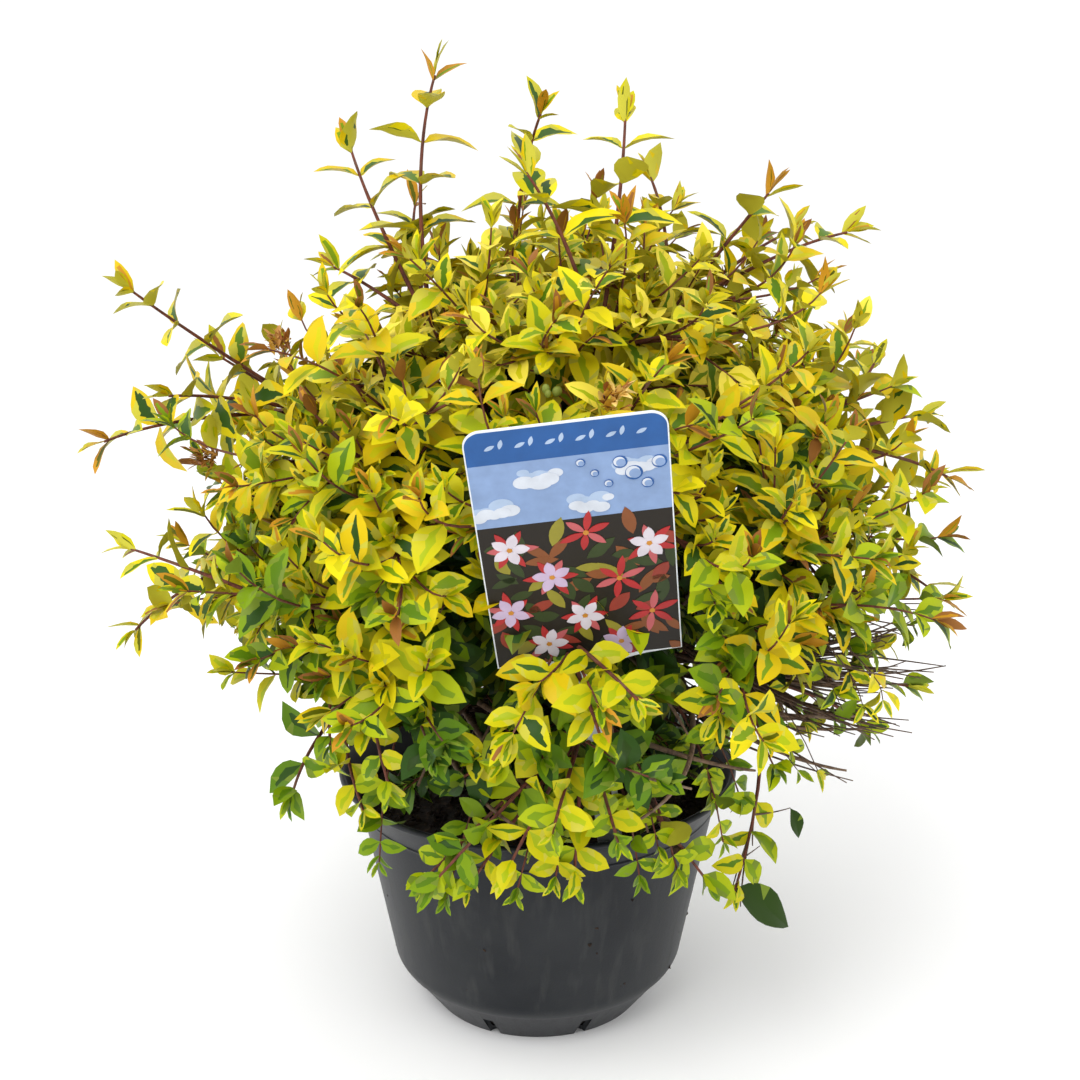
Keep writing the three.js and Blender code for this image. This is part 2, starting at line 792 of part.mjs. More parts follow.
function addLimbs(masses) {
  const stemCurves = planBoughs(masses);
  stemCurves.forEach((curve, index) => {
    rememberLimb(curve, stemRadius);
    addPiece(`stem_${index + 1}`, stemSolid(curve), materials.bark);
  });
  masses.forEach((mass, index) => {
    rememberLimb(mass.bough, taper(boughs.rootRadius, boughs.tipRadius));
    const solid = boughSolid(mass, stemCurves, masses.slice(0, index));
    addPiece(`bough_${mass.name}`, solid, materials.youngBark);
  });
  const cane = new THREE.QuadraticBezierCurve3(oldCane.foot, oldCane.bend, oldCane.end);
  const caneRadius = taper(oldCane.footRadius, oldCane.endRadius);
  rememberLimb(cane, caneRadius);
  addPiece('old_cane', standingLimb(cane, caneRadius), materials.bark);
}

function addFoliage(masses) {
  const targets = new Map(masses.map((mass) => [mass, []]));
  for (const target of [...sprayTargets(), ...shootTargets()]) {
    targets.get(nearestMass(target.place, masses)).push(target);
  }
  for (const mass of masses) {
    const material = new THREE.MeshStandardMaterial({ color: mass.ring.leaf, roughness: 0.55 });
    addPiece(`foliage_${mass.name}`, massSolid(mass, masses, targets.get(mass)), material);
  }
}

addPiece('pot', potSolid(), materials.pot);
addPiece('potting_soil', soilSolid().subtract(stakeSlot()), materials.soil);
addPiece('plant_label', labelSolid(), materials.label);
const masses = planMasses();
addLimbs(masses);
addFoliage(masses);

export default group;
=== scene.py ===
import math

import bpy
import numpy as np
from mathutils import Matrix, Vector
from mathutils.geometry import tessellate_polygon
from mathutils.kdtree import KDTree


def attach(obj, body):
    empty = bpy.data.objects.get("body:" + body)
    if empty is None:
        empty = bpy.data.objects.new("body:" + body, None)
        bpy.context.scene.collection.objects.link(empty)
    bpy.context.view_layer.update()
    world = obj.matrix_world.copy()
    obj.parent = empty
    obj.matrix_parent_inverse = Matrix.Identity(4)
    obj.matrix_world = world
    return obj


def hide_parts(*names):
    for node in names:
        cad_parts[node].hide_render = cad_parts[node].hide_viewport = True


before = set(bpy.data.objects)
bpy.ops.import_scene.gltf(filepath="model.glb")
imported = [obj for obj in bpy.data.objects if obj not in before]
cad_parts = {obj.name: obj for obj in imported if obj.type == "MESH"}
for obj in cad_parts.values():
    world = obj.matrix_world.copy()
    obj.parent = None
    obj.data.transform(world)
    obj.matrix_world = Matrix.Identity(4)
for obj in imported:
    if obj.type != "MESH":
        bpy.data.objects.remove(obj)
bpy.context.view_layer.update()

mm = 0.001
upward = Vector((0, 0, 1))
print("solids loaded:", len(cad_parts))


# Wiring for materials and geometry trees.

class Wire:
    # one output socket; arithmetic on it adds Math nodes to the same tree
    def __init__(self, graph, socket):
        self.graph, self.socket = graph, socket

    def joined(self, operation, first, second):
        return self.graph.node("ShaderNodeMath", {0: first, 1: second}, operation=operation)

    def __add__(self, other):
        return self.joined("ADD", self, other)

    def __sub__(self, other):
        return self.joined("SUBTRACT", self, other)

    def __rsub__(self, other):
        return self.joined("SUBTRACT", other, self)

    def __mul__(self, other):
        return self.joined("MULTIPLY", self, other)

    def __gt__(self, other):
        return self.joined("GREATER_THAN", self, other)

    __radd__ = __add__
    __rmul__ = __mul__


class Graph:
    # one node tree; node() adds any node, sets it up, feeds its sockets and gives back an output
    def __init__(self, tree):
        self.tree = tree

    def node(self, kind, sockets=None, output=0, **settings):
        made = self.tree.nodes.new(kind)
        for name, value in settings.items():
            if name == "stops":
                self.setStops(made.color_ramp, value)
            else:
                setattr(made, name, value)
        for key, value in (sockets or {}).items():
            self.feed(made.inputs[key], value)
        return Wire(self, made.outputs[output])

    def feed(self, socket, value):
        if isinstance(value, Wire):
            self.tree.links.new(value.socket, socket)
        else:
            socket.default_value = value

    def setStops(self, ramp, stops):
        while len(ramp.elements) < len(stops):
            ramp.elements.new(0.5)
        for element, (position, colour) in zip(ramp.elements, stops):
            element.position = position
            element.color = tone(*colour)

    def objectPlace(self):
        return self.node("ShaderNodeTexCoord", output=3)

    def stretched(self, vector, height):
        return self.node("ShaderNodeMapping", {"Vector": vector, "Scale": (1.0, 1.0, height)})

    def noise(self, vector, scale, detail):
        return self.node("ShaderNodeTexNoise", {"Vector": vector, "Scale": scale, "Detail": detail})

    def ramp(self, share, *stops):
        return self.node("ShaderNodeValToRGB", {0: share}, stops=stops)

    def mask(self, value, low, high):
        # 0 where the value is low, 1 where it is high
        return self.node("ShaderNodeMapRange", {0: value, 1: low, 2: high})

    def blend(self, share, first, second):
        return self.node("ShaderNodeMix", {0: share, 6: first, 7: second}, 2, data_type="RGBA")

    def bump(self, strength, distance, height):
        return self.node("ShaderNodeBump", {"Strength": strength, "Distance": distance, "Height": height})


def tone(red, green, blue):
    # a colour as it looks on screen, turned into the linear one that a shader takes
    def linear(level):
        share = level / 255
        return share / 12.92 if share <= 0.04045 else ((share + 0.055) / 1.055) ** 2.4
    return (linear(red), linear(green), linear(blue), 1.0)


def newFinish(name, roughness, colour=None, gloss=0.5):
    material = bpy.data.materials.new(name)
    material.use_nodes = True
    sockets = material.node_tree.nodes["Principled BSDF"].inputs
    sockets["Roughness"].default_value = roughness
    sockets["Specular IOR Level"].default_value = gloss
    if colour:
        sockets["Base Color"].default_value = tone(*colour)
    return material, Graph(material.node_tree), sockets


def startTree(name, kinds):
    # a geometry tree with a named input for each size, and what comes in by name
    tree = bpy.data.node_groups.new(name, "GeometryNodeTree")
    tree.interface.new_socket("Geometry", in_out="INPUT", socket_type="NodeSocketGeometry")
    for title, kind in kinds.items():
        tree.interface.new_socket(title, in_out="INPUT", socket_type="NodeSocket" + kind)
    tree.interface.new_socket("Geometry", in_out="OUTPUT", socket_type="NodeSocketGeometry")
    graph = Graph(tree)
    return graph, {socket.name: Wire(graph, socket) for socket in tree.nodes.new("NodeGroupInput").outputs}


def endTree(graph, geometry, material):
    geometry = graph.node("GeometryNodeRealizeInstances", {"Geometry": geometry})
    geometry = graph.node("GeometryNodeSetMaterial", {"Geometry": geometry, "Material": material})
    graph.feed(graph.tree.nodes.new("NodeGroupOutput").inputs[0], geometry)
    return graph.tree


def madeBy(tree, piece, settings):
    # each input is set by its socket's identifier, then the tree's result becomes the piece's mesh
    modifier = piece.modifiers.new("maker", "NODES")
    modifier.node_group = tree
    for socket in tree.interface.items_tree:
        if socket.name.lower() in settings:
            modifier[socket.identifier] = settings[socket.name.lower()]
    return plainMesh(piece)


def plainMesh(piece):
    # turns what the modifiers make into the piece's own mesh
    bpy.context.view_layer.update()
    evaluated = piece.evaluated_get(bpy.context.evaluated_depsgraph_get())
    mesh = bpy.data.meshes.new_from_object(evaluated)
    piece.modifiers.clear()
    piece.data = mesh
    print("made", piece.name, "with", sum(len(face.vertices) - 2 for face in mesh.polygons), "triangles")
    return piece


def newObject(name, content):
    made = bpy.data.objects.new(name, content)
    bpy.context.scene.collection.objects.link(made)
    return made


# Meshes from arrays.

class Heap:
    # the triangles of many small shapes, joined into one mesh
    def __init__(self):
        self.corners, self.faces, self.slots, self.creases = [], [], [], []
        self.count = 0

    def add(self, corners, faces, slots, creases=None):
        self.corners.append(corners)
        self.faces.append(faces + self.count)
        self.slots.append(np.broadcast_to(slots, len(faces)))
        self.creases.append(np.zeros(len(corners), bool) if creases is None else creases)
        self.count += len(corners)

    def build(self, name, materials, smooth=True):
        corners = np.concatenate(self.corners) * mm
        faces = np.concatenate(self.faces)
        creases = np.concatenate(self.creases)
        mesh = bpy.data.meshes.new(name)
        mesh.vertices.add(len(corners))
        mesh.vertices.foreach_set("co", corners.astype(np.float32).ravel())
        mesh.loops.add(3 * len(faces))
        mesh.loops.foreach_set("vertex_index", faces.astype(np.int32).ravel())
        mesh.polygons.add(len(faces))
        mesh.polygons.foreach_set("loop_start", np.arange(0, 3 * len(faces), 3, dtype=np.int32))
        mesh.polygons.foreach_set("material_index", np.concatenate(self.slots).astype(np.int32))
        mesh.polygons.foreach_set("use_smooth", np.full(len(faces), smooth))
        mesh.update(calc_edges=True)
        ends = np.zeros(2 * len(mesh.edges), np.int32)
        mesh.edges.foreach_get("vertices", ends)
        mesh.edges.foreach_set("use_edge_sharp", creases[ends[::2]] & creases[ends[1::2]])
        for material in materials:
            mesh.materials.append(material)
        print("made", name, "with", len(faces), "triangles")
        return newObject(name, mesh)


def movedBy(place, corners):
    place = np.array(place)
    return corners @ place[:3, :3].T + place[:3, 3]


def settle(piece, nodes):
    # the piece rides on the plant's one body and stands for its solids
    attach(piece, "root")
    if nodes:
        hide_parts(*nodes)


# The rule that the plant grows by, in millimetres, with Z up from under the pot.

gap = 0.3
soilTop = 142
crown = {"heart": Vector((9, 0, 300)), "halfWidth": 212, "halfDepth": 202, "rise": 196, "drop": 128,
         "fullness": 2.5}
massRings = [
    {"name": "top", "count": 4, "elevation": 62, "azimuth": 20, "sag": 0},
    {"name": "upper", "count": 6, "elevation": 28, "azimuth": -15, "sag": 0},
    {"name": "middle", "count": 7, "elevation": -1, "azimuth": 15, "sag": 0},
    {"name": "lower", "count": 5, "elevation": -28, "azimuth": -10, "sag": 16},
]
massPlace = {"boughTip": 0.47, "centre": 0.72, "stemTip": 0.84, "pullBack": 0.04}
stems = {
    "count": 6, "azimuth": 12, "footReach": 33, "tipReach": 43, "tipHeight": 236,
    "reachWave": 0.12, "reachPace": 2.4, "heightWave": 6, "heightPace": 3,
    "swayWave": 9, "swayPace": 1.7, "swayStart": 1, "bow": 7,
    "footRadius": 5.6, "flare": 1.7, "flareEnd": 0.18, "tipRadius": 3.9,
}
boughs = {"rootRadius": 3.3, "tipRadius": 2.3, "lowest": 0.42, "highest": 0.86, "upturn": 0.25,
          "bendPlace": 0.45}
oldCane = {"foot": (34, -50, soilTop), "bend": (62, -92, 206), "end": (83, -127, 158),
           "footRadius": 4.6, "endRadius": 3.4, "knob": 1.35}
twigs = {
    "stemRadius": 2.4, "stemTip": 1.5, "stemBend": 0.4, "rootRadius": 1.5, "tipRadius": 0.8,
    "leadBack": 0.42, "leadVary": 0.16, "firstRoot": 0.12, "lastRoot": 0.93,
    "forward": 0.14, "arch": 0.04, "lowArch": 0.14, "lowBelow": 10,
}
sprays = {"count": 120, "lowest": -0.55, "depth": 0.86, "depthVary": 0.1}
seeds = {"depth": 101, "spray": 200, "longShoot": 500, "lowShoot": 600, "fine": 3000, "outer": 5000,
         "wiry": 6000, "hanging": 6500, "canes": 6700, "shade": 7000, "underwood": 7400, "rimShoot": 7600,
         "soil": 8000, "print": 8001, "bracts": 8010, "buds": 8040}
# How each seed's row of random numbers is drawn, by the same rule as in the solids.
draws = {"spread": 7919, "first": 12345, "factor": 1664525, "step": 1013904223, "range": 2 ** 32}
longShoots = [
    (-59, -20, 597), (2, 30, 574), (50, -40, 574), (-6, -70, 545), (-111, 0, 555), (-76, 40, 520),
    (-122, -10, 486), (70, 40, 536), (140, 10, 528), (194, 40, 502), (-243, -20, 474), (-218, -44, 414),
    (-254, -60, 390), (-236, -86, 332), (-246, -50, 270), (-142, -128, 196), (212, 20, 424),
    (242, 10, 392), (247, -40, 364), (252, 0, 280), (236, -20, 222), (216, 4, 184), (-58, -166, 160),
    (-16, -172, 172), (62, -164, 160), (100, -126, 140), (142, -104, 112),
]
farShoots = {"count": 12, "azimuths": (28, 170), "elevations": [48, 12, -14, 30],
             "reaches": [1.22, 1.17, 1.12]}
# Low shoots that hang over the front of the rim, beside those above.
lowShoots = [
    (-65, -150, 153), (-39, -155, 152), (21, -158, 157), (96, -120, 139), (119, -108, 124),
    (-29, -190, 247), (4, -222, 290), (63, -185, 236), (-82, -160, 213), (52, -214, 288), (-116, -150, 236),
    (28, -196, 232), (8, -200, 206), (44, -190, 196), (34, -206, 262), (-100, -136, 190), (84, -150, 196),
]
label = {
    "foot": Vector((45, -90, soilTop)), "head": Vector((13, -226, 437)), "turn": 0.02,
    "width": 101, "height": 160, "corner": 9, "cornerSteps": 10, "thickness": 1.4,
    "stakeWidth": 15, "buried": 45, "point": 9, "shoulder": 14, "shoulderSteps": 8,
    "clear": 3, "bareFront": 130, "bareShare": 0.86,
}
pot = {
    "footRadius": 71, "shoulderRadius": 97, "shoulderHeight": 33,
    "seamRadius": 117.5, "seamHeight": 141, "seamStep": 1.2, "rimRadius": 130, "rimHeight": 163, "rimLip": 4,
    "wall": 2.6, "floor": 4, "hollow": 0.6, "sides": 144,
}


def directionOf(azimuth, elevation):
    level = math.cos(math.radians(elevation))
    return Vector((
        level * math.cos(math.radians(azimuth)),
        level * math.sin(math.radians(azimuth)),
        math.sin(math.radians(elevation)),
    ))


def reachAlong(direction):
    high = crown["rise"] if direction.z > 0 else crown["drop"]
    shares = (direction.x / crown["halfWidth"], direction.y / crown["halfDepth"], direction.z / high)
    return sum(abs(share) ** crown["fullness"] for share in shares) ** (-1 / crown["fullness"])


def crownPoint(direction, share):
    return crown["heart"] + direction * (share * reachAlong(direction))


def shareOf(point):
    # how far out a point lies: 0 at the crown's heart, 1 on its dome
    outward = point - crown["heart"]
    return outward.length / reachAlong(outward.normalized())


def seededRandom(seed):
    state = seed * draws["spread"] + draws["first"]

    def following():
        nonlocal state
        state = (state * draws["factor"] + draws["step"]) % draws["range"]
        return state / draws["range"]
    return following


def scatter(random):
    # a random offset, up to half a unit along each axis
    return Vector((random() - 0.5, random() - 0.5, random() - 0.5))


def taper(start, end, share):
    return start + (end - start) * share


class Limb:
    # a quadratic curve with a radius at its root and at its tip
    def __init__(self, start, bend, end, rootRadius, tipRadius):
        self.start, self.bend, self.end = Vector(start), Vector(bend), Vector(end)
        self.rootRadius, self.tipRadius = rootRadius, tipRadius

    def at(self, share):
        rest = 1 - share
        return self.start * (rest * rest) + self.bend * (2 * rest * share) + self.end * (share * share)

    def heading(self, share):
        return ((self.bend - self.start) * (1 - share) + (self.end - self.bend) * share).normalized()

    def radius(self, share):
        return taper(self.rootRadius, self.tipRadius, share)

    def length(self):
        places = [self.at(step / 8) for step in range(9)]
        return sum((b - a).length for a, b in zip(places, places[1:]))


def stemCurve(index):
    azimuth = stems["azimuth"] + 360 * index / stems["count"]
    outward = directionOf(azimuth, 0)
    uneven = stems["reachWave"] * math.sin(stems["reachPace"] * index)
    foot = outward * (stems["footReach"] * (1 - uneven))
    tip = outward * (stems["tipReach"] * (1 + uneven))
    foot.z = soilTop + gap
    tip.z = stems["tipHeight"] + stems["heightWave"] * math.cos(stems["heightPace"] * index)
    sway = stems["swayWave"] * math.sin(stems["swayPace"] * index + stems["swayStart"])
    bend = (foot + tip) / 2 - outward * stems["bow"] + directionOf(azimuth + 90, 0) * sway
    return Limb(foot, bend, tip, stems["footRadius"], stems["tipRadius"])


def planMasses():
    for ring in massRings:
        for place in range(ring["count"]):
            azimuth = ring["azimuth"] + 360 * place / ring["count"]
            direction = directionOf(azimuth, ring["elevation"])
            yield {
                "ring": ring, "azimuth": azimuth, "direction": direction,
                "name": ring["name"] + "_" + str(place + 1),
                "centre": crownPoint(direction, massPlace["centre"]),
                "boughTip": crownPoint(direction, massPlace["boughTip"]) - upward * ring["sag"],
            }


def boughCurve(stem, along, tip):
    carriesOn = along == 1
    root = stem.at(along)
    heading = stem.heading(along)
    span = (tip - root).length
    outward = (tip - root).normalized()
    if carriesOn:
        root = root + heading * gap
    turn = heading if carriesOn else outward.lerp(heading, boughs["upturn"]).normalized()
    bend = root + turn * (span * boughs["bendPlace"])
    return Limb(root, bend, tip, boughs["rootRadius"], boughs["tipRadius"])


def planBoughs():
    # each mass gets a bough from the stem on its side, higher masses higher up
    curves = [stemCurve(index) for index in range(stems["count"])]
    carried = [[] for _ in curves]
    for mass in masses:
        angle = (mass["azimuth"] - stems["azimuth"]) / (360 / stems["count"])
        carried[math.floor(angle + 0.5) % stems["count"]].append(mass)
    for curve, group in zip(curves, carried):
        group.sort(key=lambda mass: mass["ring"]["elevation"])
        last = len(group) - 1
        for rank, mass in enumerate(group):
            along = 1 if rank == last else taper(boughs["lowest"], boughs["highest"], rank / last)
            mass["bough"] = boughCurve(curve, along, mass["boughTip"])
    return curves


def nearestMass(point):
    return min(masses, key=lambda mass: (point - mass["centre"]).length)


def placeLabel():
    rise = (label["head"] - label["foot"]).normalized()
    across = rise.cross(Vector((label["turn"], -1, 0))).normalized()
    place = Matrix((across, rise, across.cross(rise))).transposed().to_4x4()
    place.translation = label["foot"]
    return place


labelPlace = placeLabel()
labelInverse = labelPlace.inverted()
labelTop = (label["head"] - label["foot"]).length
labelBottom = labelTop - label["height"]
# Small clusters of dry bracts and of buds; the leaves leave them in sight.
clusters = {
    "bracts": [(-156, -10, 440), (-197, -40, 377), (40, -160, 434), (120, 110, 420), (-90, 150, 400)],
    "golden": [2, 4], "bractCount": 44, "bractLength": 9.5, "bractSpread": 11, "splay": 1.9, "twist": 0.4,
    "bractVary": (0.8, 0.5), "sunk": 2, "budVary": (0.75, 0.5), "budShape": (1, 1, 1.25),
    "buds": [(8, -136, 438), (-60, 90, 450)],
    "budCount": 8, "budRadius": 2.3, "budSpread": 20, "sight": 8,
}
# The camera's place; the rest of it is made at the end.
camera = {"place": Vector((1.6, -1014, 600)), "pitch": 15.8, "view": 36, "sensor": 36, "farthest": 100}
cameraOnLabel = labelInverse @ camera["place"]


def clearOfPot(point, spare):
    radius = math.hypot(point.x, point.y)
    outside = radius > pot["rimRadius"] + spare
    aboveSoil = radius < pot["seamRadius"] - pot["wall"] - spare and point.z > soilTop + spare
    return point.z > pot["rimHeight"] + spare or outside or aboveSoil


def clearOfLabel(point, spare):
    local = labelInverse @ point
    onCard = local.y > labelBottom - label["shoulder"] - spare
    halfWidth = (label["width"] if onCard else label["stakeWidth"]) / 2 + spare
    bareFrom = labelTop - label["height"] * label["bareShare"]
    if abs(local.x) < halfWidth and -spare < local.y < labelTop + spare:
        front = label["bareFront"] if local.y > bareFrom else label["thickness"] + spare
        if -spare < local.z < front:
            return False
    # nothing stands between the card's bare face and the camera either
    if local.z > 0:
        share = local.z / (cameraOnLabel.z - local.z)
        seen = local - (cameraOnLabel - local) * share
        if abs(seen.x) < label["width"] / 2 + spare / 2 and bareFrom < seen.y < labelTop + spare / 2:
            return False
    return True


def isOpen(curve, spare, first=2, steps=12):
    # whether a curve keeps clear of pot and label, apart from its first steps
    places = [curve.at(step / steps) for step in range(first, steps + 1)]
    return all(clearOfPot(place, spare) and clearOfLabel(place, spare) for place in places)


def massStem(mass):
    # carries on the bough through its mass, shorter where the label or the pot is in the way
    heading = mass["bough"].heading(1)
    start = mass["boughTip"] + heading * gap
    share = massPlace["stemTip"]
    while share > massPlace["boughTip"]:
        end = crownPoint(mass["direction"], share)
        bend = start + heading * (twigs["stemBend"] * (end - start).length)
        stem = Limb(start, bend, end, twigs["stemRadius"], twigs["stemTip"])
        if isOpen(stem, label["clear"], 0, 20):
            break
        share -= massPlace["pullBack"]
    return stem


def twigCurve(mass, target, random):
    stem = mass["stem"]
    axis = stem.end - stem.start
    share = (target - stem.start).dot(axis) / axis.length_squared
    lead = twigs["leadBack"] - twigs["leadVary"] * random()
    along = min(twigs["lastRoot"], max(twigs["firstRoot"], share - lead))
    root = stem.at(along)
    span = (target - root).length
    arch = twigs["lowArch"] if mass["ring"]["elevation"] < twigs["lowBelow"] else twigs["arch"]
    bend = (root + target) / 2 + stem.heading(along) * (twigs["forward"] * span) + upward * (arch * span)
    return Limb(root, bend, target, twigs["rootRadius"], twigs["tipRadius"])


def latticeDirections(count, lowest):
    # evenly spread directions, turned by the golden angle from one to the next
    goldenTurn = 180 * (3 - math.sqrt(5))
    for place in range(count):
        sine = 1 - (place + 0.5) / count * (1 - lowest)
        yield directionOf(place * goldenTurn, math.degrees(math.asin(sine)))


def sprayTargets():
    random = seededRandom(seeds["depth"])
    for direction in latticeDirections(sprays["count"], sprays["lowest"]):
        yield crownPoint(direction, sprays["depth"] + sprays["depthVary"] * random())


def shootTargets():
    yield from map(Vector, longShoots)
    elevations, reaches = farShoots["elevations"], farShoots["reaches"]
    for k in range(farShoots["count"]):
        azimuth = taper(*farShoots["azimuths"], k / (farShoots["count"] - 1))
        direction = directionOf(azimuth, elevations[k % len(elevations)])
        yield crownPoint(direction, reaches[k % len(reaches)])


masses = list(planMasses())
stemLimbs = planBoughs()
boughLimbs = [mass["bough"] for mass in masses]
for mass in masses:
    mass["stem"] = massStem(mass)
massStems = [mass["stem"] for mass in masses]
caneLimb = Limb(oldCane["foot"], oldCane["bend"], oldCane["end"], oldCane["footRadius"], oldCane["endRadius"])
print("limbs planned:", len(stemLimbs), "stems,", len(boughLimbs), "boughs")


# Twigs: the coarse ones that the solids have, then finer ones that leave them.

forks = {"first": 0.15, "reach": 0.8, "steps": 9, "choices": 3, "risingAbove": 0.1}
fine = {
    "count": 900, "lowest": -0.6, "depth": (0.7, 1.0), "depthPower": 0.8, "inward": 0.76, "forward": 0.24,
    "archLow": 0.1, "archHigh": -0.1, "rootRadius": 0.9, "tipRadius": 0.5, "clear": 1.0, "longest": 105,
}
# Shoots that stand out of the dome all round, so that its outline is uneven.
outer = dict(fine, count=180, lowest=-0.32, depth=(1.0, 1.19), inward=0.68, longest=150)
# Twigs that fill the inside of the crown; their leaves get the inner mix's darker greens, which are painted
# shade.
shade = dict(fine, count=170, lowest=-0.75, depth=(0.36, 0.66), inward=0.55, longest=120)
# Where the crown is open or drawn in: between which azimuths and elevations, the share of twigs
# that grow there, how far they reach, and the share of leaf pairs that have fallen.
openPlaces = [
    ((-56, 18), (-60, -2), 0.06, 0.9, 0.46),  # low right
    ((-125, -48), (-60, -20), 0.12, 1.0, 0.4),  # low front
    ((172, 245), (-60, -7), 0.3, 0.85, 0.1),  # low left
    ((150, 172), (-60, -20), 0.5, 0.9, 0),  # low behind
    ((140, 200), (-7, 30), 0.8, 0.92, 0),  # left
    ((115, 215), (30, 76), 0.6, 0.87, 0),  # high left
    ((-30, 20), (12, 40), 0.7, 0.92, 0),  # high right
]
# Bare, dry twigs low on the right. Every second one is a spike that lies nearly level.
wiry = {
    "count": 124, "azimuths": (-42, 14), "elevations": (-36, -4), "depth": (0.84, 1.08), "inward": 0.6,
    "forward": 0.24, "archHigh": 0, "archVary": 0.2, "rootRadius": 0.75, "tipRadius": 0.35, "sway": 0.16,
}
spikes = {"every": 2, "elevations": (-24, -5), "depth": (0.96, 1.17), "root": 0.45, "rootLeast": 0.8,
          "rootVary": 0.5, "rise": 0.06, "radius": 1.5, "sway": 0.1}
# Twigs that lie across one another low over the pot's mouth; the first ones have dark leaves.
underwood = {"leafy": 46, "count": 118, "azimuths": (-166, -8), "reach": (70, 134), "heights": (170, 226),
             "startReach": 54, "startTurn": 130, "startRise": 12, "rise": 0.08, "sway": 0.12}
# Small fresh shoots that hang over the front of the rim.
rimShoots = dict(fine, inward=0.5, archLow=0.22)
rimEnds = [(59, -150, 152), (36, -156, 146), (82, -138, 150), (-12, -158, 148), (-92, -134, 156),
           (10, -160, 156), (110, -116, 160), (124, -84, 172), (-52, -156, 144), (70, -146, 168),
           (104, -104, 182), (40, -140, 188), (35, -148, 208), (46, -134, 172)]
# Bare old canes that show low between the leaves, over the front of the pot.
canes = dict(wiry, inward=0.5, archLow=0.06, rootRadius=2.4, tipRadius=0.7)
caneEnds = [(-34, -120, 222), (44, -126, 230), (64, -136, 176), (-70, -116, 196), (-96, -92, 214),
            (20, -134, 184), (88, -110, 226), (-12, -128, 200)]
# Start, bend and end of the canes that lie across those, the last six out to the right.
crossings = [
    ((-60, -60, 230), (0, -150, 230), (88, -142, 206)),
    ((90, -50, 220), (112, -140, 216), (52, -156, 190)),
    ((-90, -60, 220), (-64, -150, 208), (10, -158, 178)),
    ((-40, -60, 220), (-20, -150, 214), (14, -160, 202)),
    ((30, -70, 210), (84, -130, 216), (128, -112, 204)),
    ((70, -40, 224), (130, -76, 210), (204, -52, 206)),
    ((60, -50, 230), (120, -96, 226), (200, -70, 222)),
    ((70, -30, 216), (130, -72, 196), (188, -80, 190)),
    ((80, -20, 230), (150, -56, 232), (216, -36, 230)),
    ((66, -40, 210), (140, -84, 208), (206, -24, 214)),
]
# Thin wires that hang beside the rim: where each ends, and the tip of the leaf on it, if there is
# one. They take the place of one of the long shoots.
hanging = dict(wiry, inward=1, archHigh=0.2, archLow=0.2)
hangingEnds = [((118, -104, 124), (156, -100, 96)), ((158, -60, 156), (165, -62, 136)),
               ((140, -60, 130), None), ((124, -98, 108), None), ((132, -84, 142), None)]
leftOut = Vector((142, -104, 112))


class Skeleton:
    # places along limbs, where finer twigs may start
    def __init__(self, limbs, first=forks["first"], reach=forks["reach"], steps=forks["steps"]):
        self.places = [(limb, first + reach * k / steps) for limb in limbs for k in range(steps + 1)]
        self.tree = KDTree(len(self.places))
        for index, (limb, share) in enumerate(self.places):
            self.tree.insert(limb.at(share), index)
        self.tree.balance()

    def rootNear(self, point):
        limb, share = self.places[self.tree.find(point)[1]]
        return limb.at(share)

    def attach(self, target, settings, random):
        # a twig leaves the nearest limb a little further in; high ones turn up, low ones hang
        outward = target - crown["heart"]
        inward = crown["heart"] + outward * settings["inward"]
        choices = self.tree.find_n(inward, forks["choices"])
        limb, share = self.places[choices[int(random() * len(choices))][1]]
        root = limb.at(share)
        span = (target - root).length
        arch = settings["archHigh" if outward.normalized().z > forks["risingAbove"] else "archLow"]
        forward = limb.heading(share) * (settings["forward"] * span)
        bend = (root + target) / 2 + forward + upward * (arch * span)
        return Limb(root, bend, target, settings["rootRadius"], settings["tipRadius"])


def placesAt(direction):
    azimuth = math.degrees(math.atan2(direction.y, direction.x))
    elevation = math.degrees(math.asin(direction.z))
    for (left, right), (low, high), share, reach, bare in openPlaces:
        if (azimuth - left) % 360 < right - left and low < elevation < high:
            yield share, reach, bare


def drawnIn(point):
    # a spray's end, nearer to the heart where the crown reaches less far
    outward = point - crown["heart"]
    for _, reach, _ in placesAt(outward.normalized()):
        outward = outward * reach
    return crown["heart"] + outward


def growCoarse():
    kinds = {"spray": sprayTargets(), "longShoot": shootTargets(), "lowShoot": map(Vector, lowShoots)}
    for kind, targets in kinds.items():
        for k, target in enumerate(targets):
            random = seededRandom(seeds[kind] + k)
            end = drawnIn(target) if kind == "spray" else target
            if target != leftOut:
                yield kind, twigCurve(nearestMass(target), end, random), random


def growFrom(skeleton, kind, settings):
    for k, direction in enumerate(latticeDirections(settings["count"], settings["lowest"])):
        random = seededRandom(seeds[kind] + k)
        depth = taper(*settings["depth"], random() ** settings["depthPower"])
        curve = skeleton.attach(drawnIn(crownPoint(direction, depth)), settings, random)
        # fewer grow where the crown is open, apart from those inside it
        filled = kind == "shade" or all(random() < share for share, _, _ in placesAt(direction))
        if filled and curve.length() < settings["longest"]:
            yield kind, curve, random


def growUnderwood():
    for k in range(underwood["count"]):
        random = seededRandom(seeds["underwood"] + k)
        azimuth = taper(*underwood["azimuths"], random())
        target = directionOf(azimuth, 0) * taper(*underwood["reach"], random())
        target.z = taper(*underwood["heights"], random())
        near = directionOf(azimuth + underwood["startTurn"] * (random() - 0.5), 0) * underwood["startReach"]
        near.z = target.z + underwood["startRise"]
        root = innerLimbs.rootNear(near)
        span = (target - root).length
        sideways = scatter(random) * (2 * underwood["sway"] * span)
        bend = (root + target) / 2 + upward * (underwood["rise"] * span) + sideways
        kind = "underwood" if k < underwood["leafy"] else "bare"
        yield kind, Limb(root, bend, target, fine["rootRadius"], fine["tipRadius"]), random


